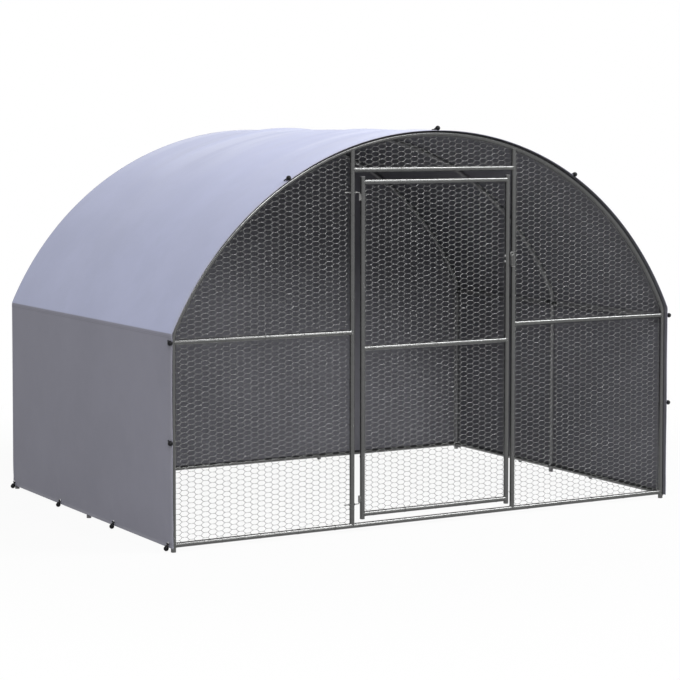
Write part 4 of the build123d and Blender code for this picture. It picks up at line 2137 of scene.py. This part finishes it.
@dataclass(frozen=True)
class Finishes:
    """The materials of the run."""

    tube: Material
    shade_matched_tube: Material
    wire: Material
    fitting: Material
    bright: Material
    cloth: Material
    rear_cloth: Material
    shaded_lining: Material
    ball: Material
    elastic: Material
    plug: Material

    @classmethod
    def mix(cls, frame: RunFrame, cover_front: float) -> Finishes:
        """Builds every material.

        Args:
            frame: Lines of the frame and its cover.
            cover_front: Place of the cover's front edge.

        Returns:
            The materials.
        """
        wall = (0.221, 0.22, 0.268), (0.239, 0.238, 0.29)
        hem, seam = CoverCloth.hem_width, CoverCloth.seam_width
        inset, apart = 0.002, 0.008
        rows = (("y", cover_front + hem - inset), ("z", frame.hem_z + hem - inset))
        bands = (("y", cover_front + hem), ("z", frame.hem_z + hem))
        seams = (("z", frame.eave_z - seam), ("z", frame.eave_z - seam - apart))
        cloth = CoatedCloth(
            "cover_cloth",
            *wall,
            # Painted light: the roof's colours are lighter and bluer than the walls' to stand for the
            # stronger light from above.
            roof=((0.38, 0.405, 0.562), (0.408, 0.434, 0.6)),
            eave=frame.eave_z,
            crown=frame.arch_centre_z + frame.cover_radius,
            stitch_lines=rows + seams,
            hem_highlight_bands=bands,
        )
        rear = CoatedCloth("rear_cloth", *wall, stitch_lines=rows[1:], hem_highlight_bands=bands[1:])
        dull = (0.19, 0.19, 0.187), (0.15, 0.15, 0.148)
        bright = (0.66, 0.66, 0.66), (0.5, 0.5, 0.51)
        black = (0.005, 0.005, 0.006), (0.012, 0.012, 0.013)
        braid = (0.012, 0.012, 0.013), (0.025, 0.025, 0.027)
        kinds = {
            "tube": ZincCoat("zinc_tube", (0.1, 0.101, 0.1), (0.086, 0.087, 0.086), 0.2, 0.8),
            # Painted shade: a duller, less shiny copy of the zinc, matched to the shade inside the run so
            # those tubes blend with it.
            "shade_matched_tube": ZincCoat("shade_matched_tube", (0.135, 0.135, 0.14), (0.115, 0.115, 0.12), 0.5, 0.2),
            "wire": ZincCoat("zinc_wire", (0.185, 0.187, 0.185), (0.157, 0.159, 0.157), 0.26, 0.6),
            "fitting": ZincCoat("dull_fitting", *dull, 0.34, 0.8, spangle=400.0),
            "bright": ZincCoat("bright_fitting", *bright, 0.3, 0.8, spangle=400.0),
            "cloth": cloth,
            "rear_cloth": rear,
            # Painted shade: the cover's inner face is much darker than its outer face, for the shade
            # inside the run.
            "shaded_lining": CoatedCloth("shaded_cover_lining", (0.127, 0.126, 0.143), (0.148, 0.147, 0.166), 0.6),
            "ball": Moulding("ball_plastic", *black, 0.34, shine=0.08),
            "elastic": Moulding("braided_elastic", *braid, 0.75, braid=0.0028),
            "plug": Moulding("plug_plastic", (0.1, 0.1, 0.1), (0.14, 0.14, 0.14), 0.5),
        }
        return cls(**{use: kind.material() for use, kind in kinds.items()})


def bead_centres(node: Piece, reach: float = 0.045) -> np.ndarray:
    """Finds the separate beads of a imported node.

    Args:
        node: The node's object.
        reach: Points nearer than this to a bead's first point belong to it.

    Returns:
        The centre of each bead.
    """
    left = np.array([tuple(vertex.co) for vertex in node.data.vertices])
    centres = []
    while len(left):
        near = np.linalg.norm(left - left[0], axis=1) < reach
        centres.append((left[near].min(0) + left[near].max(0)) / 2)
        left = left[~near]
    return np.array(centres)


def dress(nodes: dict[str, Piece], endings: tuple[str, ...], material: Material) -> None:
    """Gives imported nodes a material.

    Args:
        nodes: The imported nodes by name.
        endings: How the names of the wanted nodes end.
        material: The material.
    """
    for name, node in nodes.items():
        if name.endswith(endings):
            for slot in node.material_slots:
                slot.material = material


def set_down(piece: Piece, body: Body, slot: Slot) -> None:
    """Lets a piece ride on its body.

    Args:
        piece: The piece.
        body: Body that it rides on.
        slot: Material slot of the record; not used.
    """
    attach(piece, body.value)
    LOG.info("%s rides on %s", piece.name, body.value)


def main() -> None:
    """Builds the run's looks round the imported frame."""
    logging.basicConfig(level=logging.INFO)
    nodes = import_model()["nodes"]
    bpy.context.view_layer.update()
    frame = RunFrame.read()
    Studio().build()
    finish = Finishes.mix(frame, frame.cover_front - CoverCloth.lap)

    cover = CoverCloth(frame, finish.cloth, finish.rear_cloth, finish.shaded_lining)
    beads = bead_centres(nodes["tie_beads"])
    cover.find_ties(beads)
    for piece in cover.build():
        set_down(piece, Body.FRAME, Slot.CLOTH)
    ties = CoverTies(cover.ties, ball_radius=float(beads[:, 1].min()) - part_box("tie_beads")[0].y)
    set_down(ties.balls(finish.ball, finish.elastic), Body.FRAME, Slot.TIE)
    set_down(ties.eyelets(finish.bright), Body.FRAME, Slot.HARDWARE)

    netting = HexNetting(finish.wire, frame.net_y)
    for node, panel in FrontPanels(frame, netting).build().items():
        set_down(panel, Body.DOOR if node == "door_net" else Body.FRAME, Slot.NETTING)
    clips = NetClips(frame, finish.tube, netting.border)
    set_down(clips.build_frame(), Body.FRAME, Slot.NETTING)
    set_down(clips.build_door(), Body.DOOR, Slot.NETTING)

    for arch in HoopTubes(frame, finish.tube, finish.shade_matched_tube).build():
        set_down(arch, Body.FRAME, Slot.TUBE)
    welds = WeldBeads(frame, finish.tube)
    set_down(welds.build_frame(), Body.FRAME, Slot.TUBE)
    set_down(welds.build_door(), Body.DOOR, Slot.TUBE)
    sockets = RailSockets(frame)
    set_down(sockets.sockets(finish.tube), Body.FRAME, Slot.TUBE)
    set_down(sockets.bolts(finish.fitting), Body.FRAME, Slot.HARDWARE)
    set_down(StilePlugs(finish.plug).build(), Body.DOOR, Slot.TIE)

    hinges = HookHinges(finish.fitting)
    set_down(hinges.hooks(), Body.FRAME, Slot.HARDWARE)
    set_down(hinges.nuts(), Body.FRAME, Slot.HARDWARE)
    set_down(hinges.barrels(), Body.DOOR, Slot.HARDWARE)
    latch = DropLatch(finish.fitting, finish.bright)
    set_down(latch.pin(), Body.LATCH_PIN, Slot.HARDWARE)
    set_down(latch.bolts(), Body.DOOR, Slot.HARDWARE)

    bare = ("_post", "_sill", "_rail", "_ridge_tube", "_jamb", "_stile", "header")
    inner_posts = tuple(f"{hoop}_{side}_post" for hoop in HOOPS[1:] for side in SIDES)
    dress(nodes, ("latch_bracket", "latch_keeper"), finish.fitting)
    dress(nodes, bare, finish.tube)
    # Tubes in the shade inside the run take the shade-matched copy of the zinc.
    dress(nodes, ("eave_rail", "_ridge_tube", *inner_posts), finish.shade_matched_tube)
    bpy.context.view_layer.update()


if __name__ == "__main__":
    main()
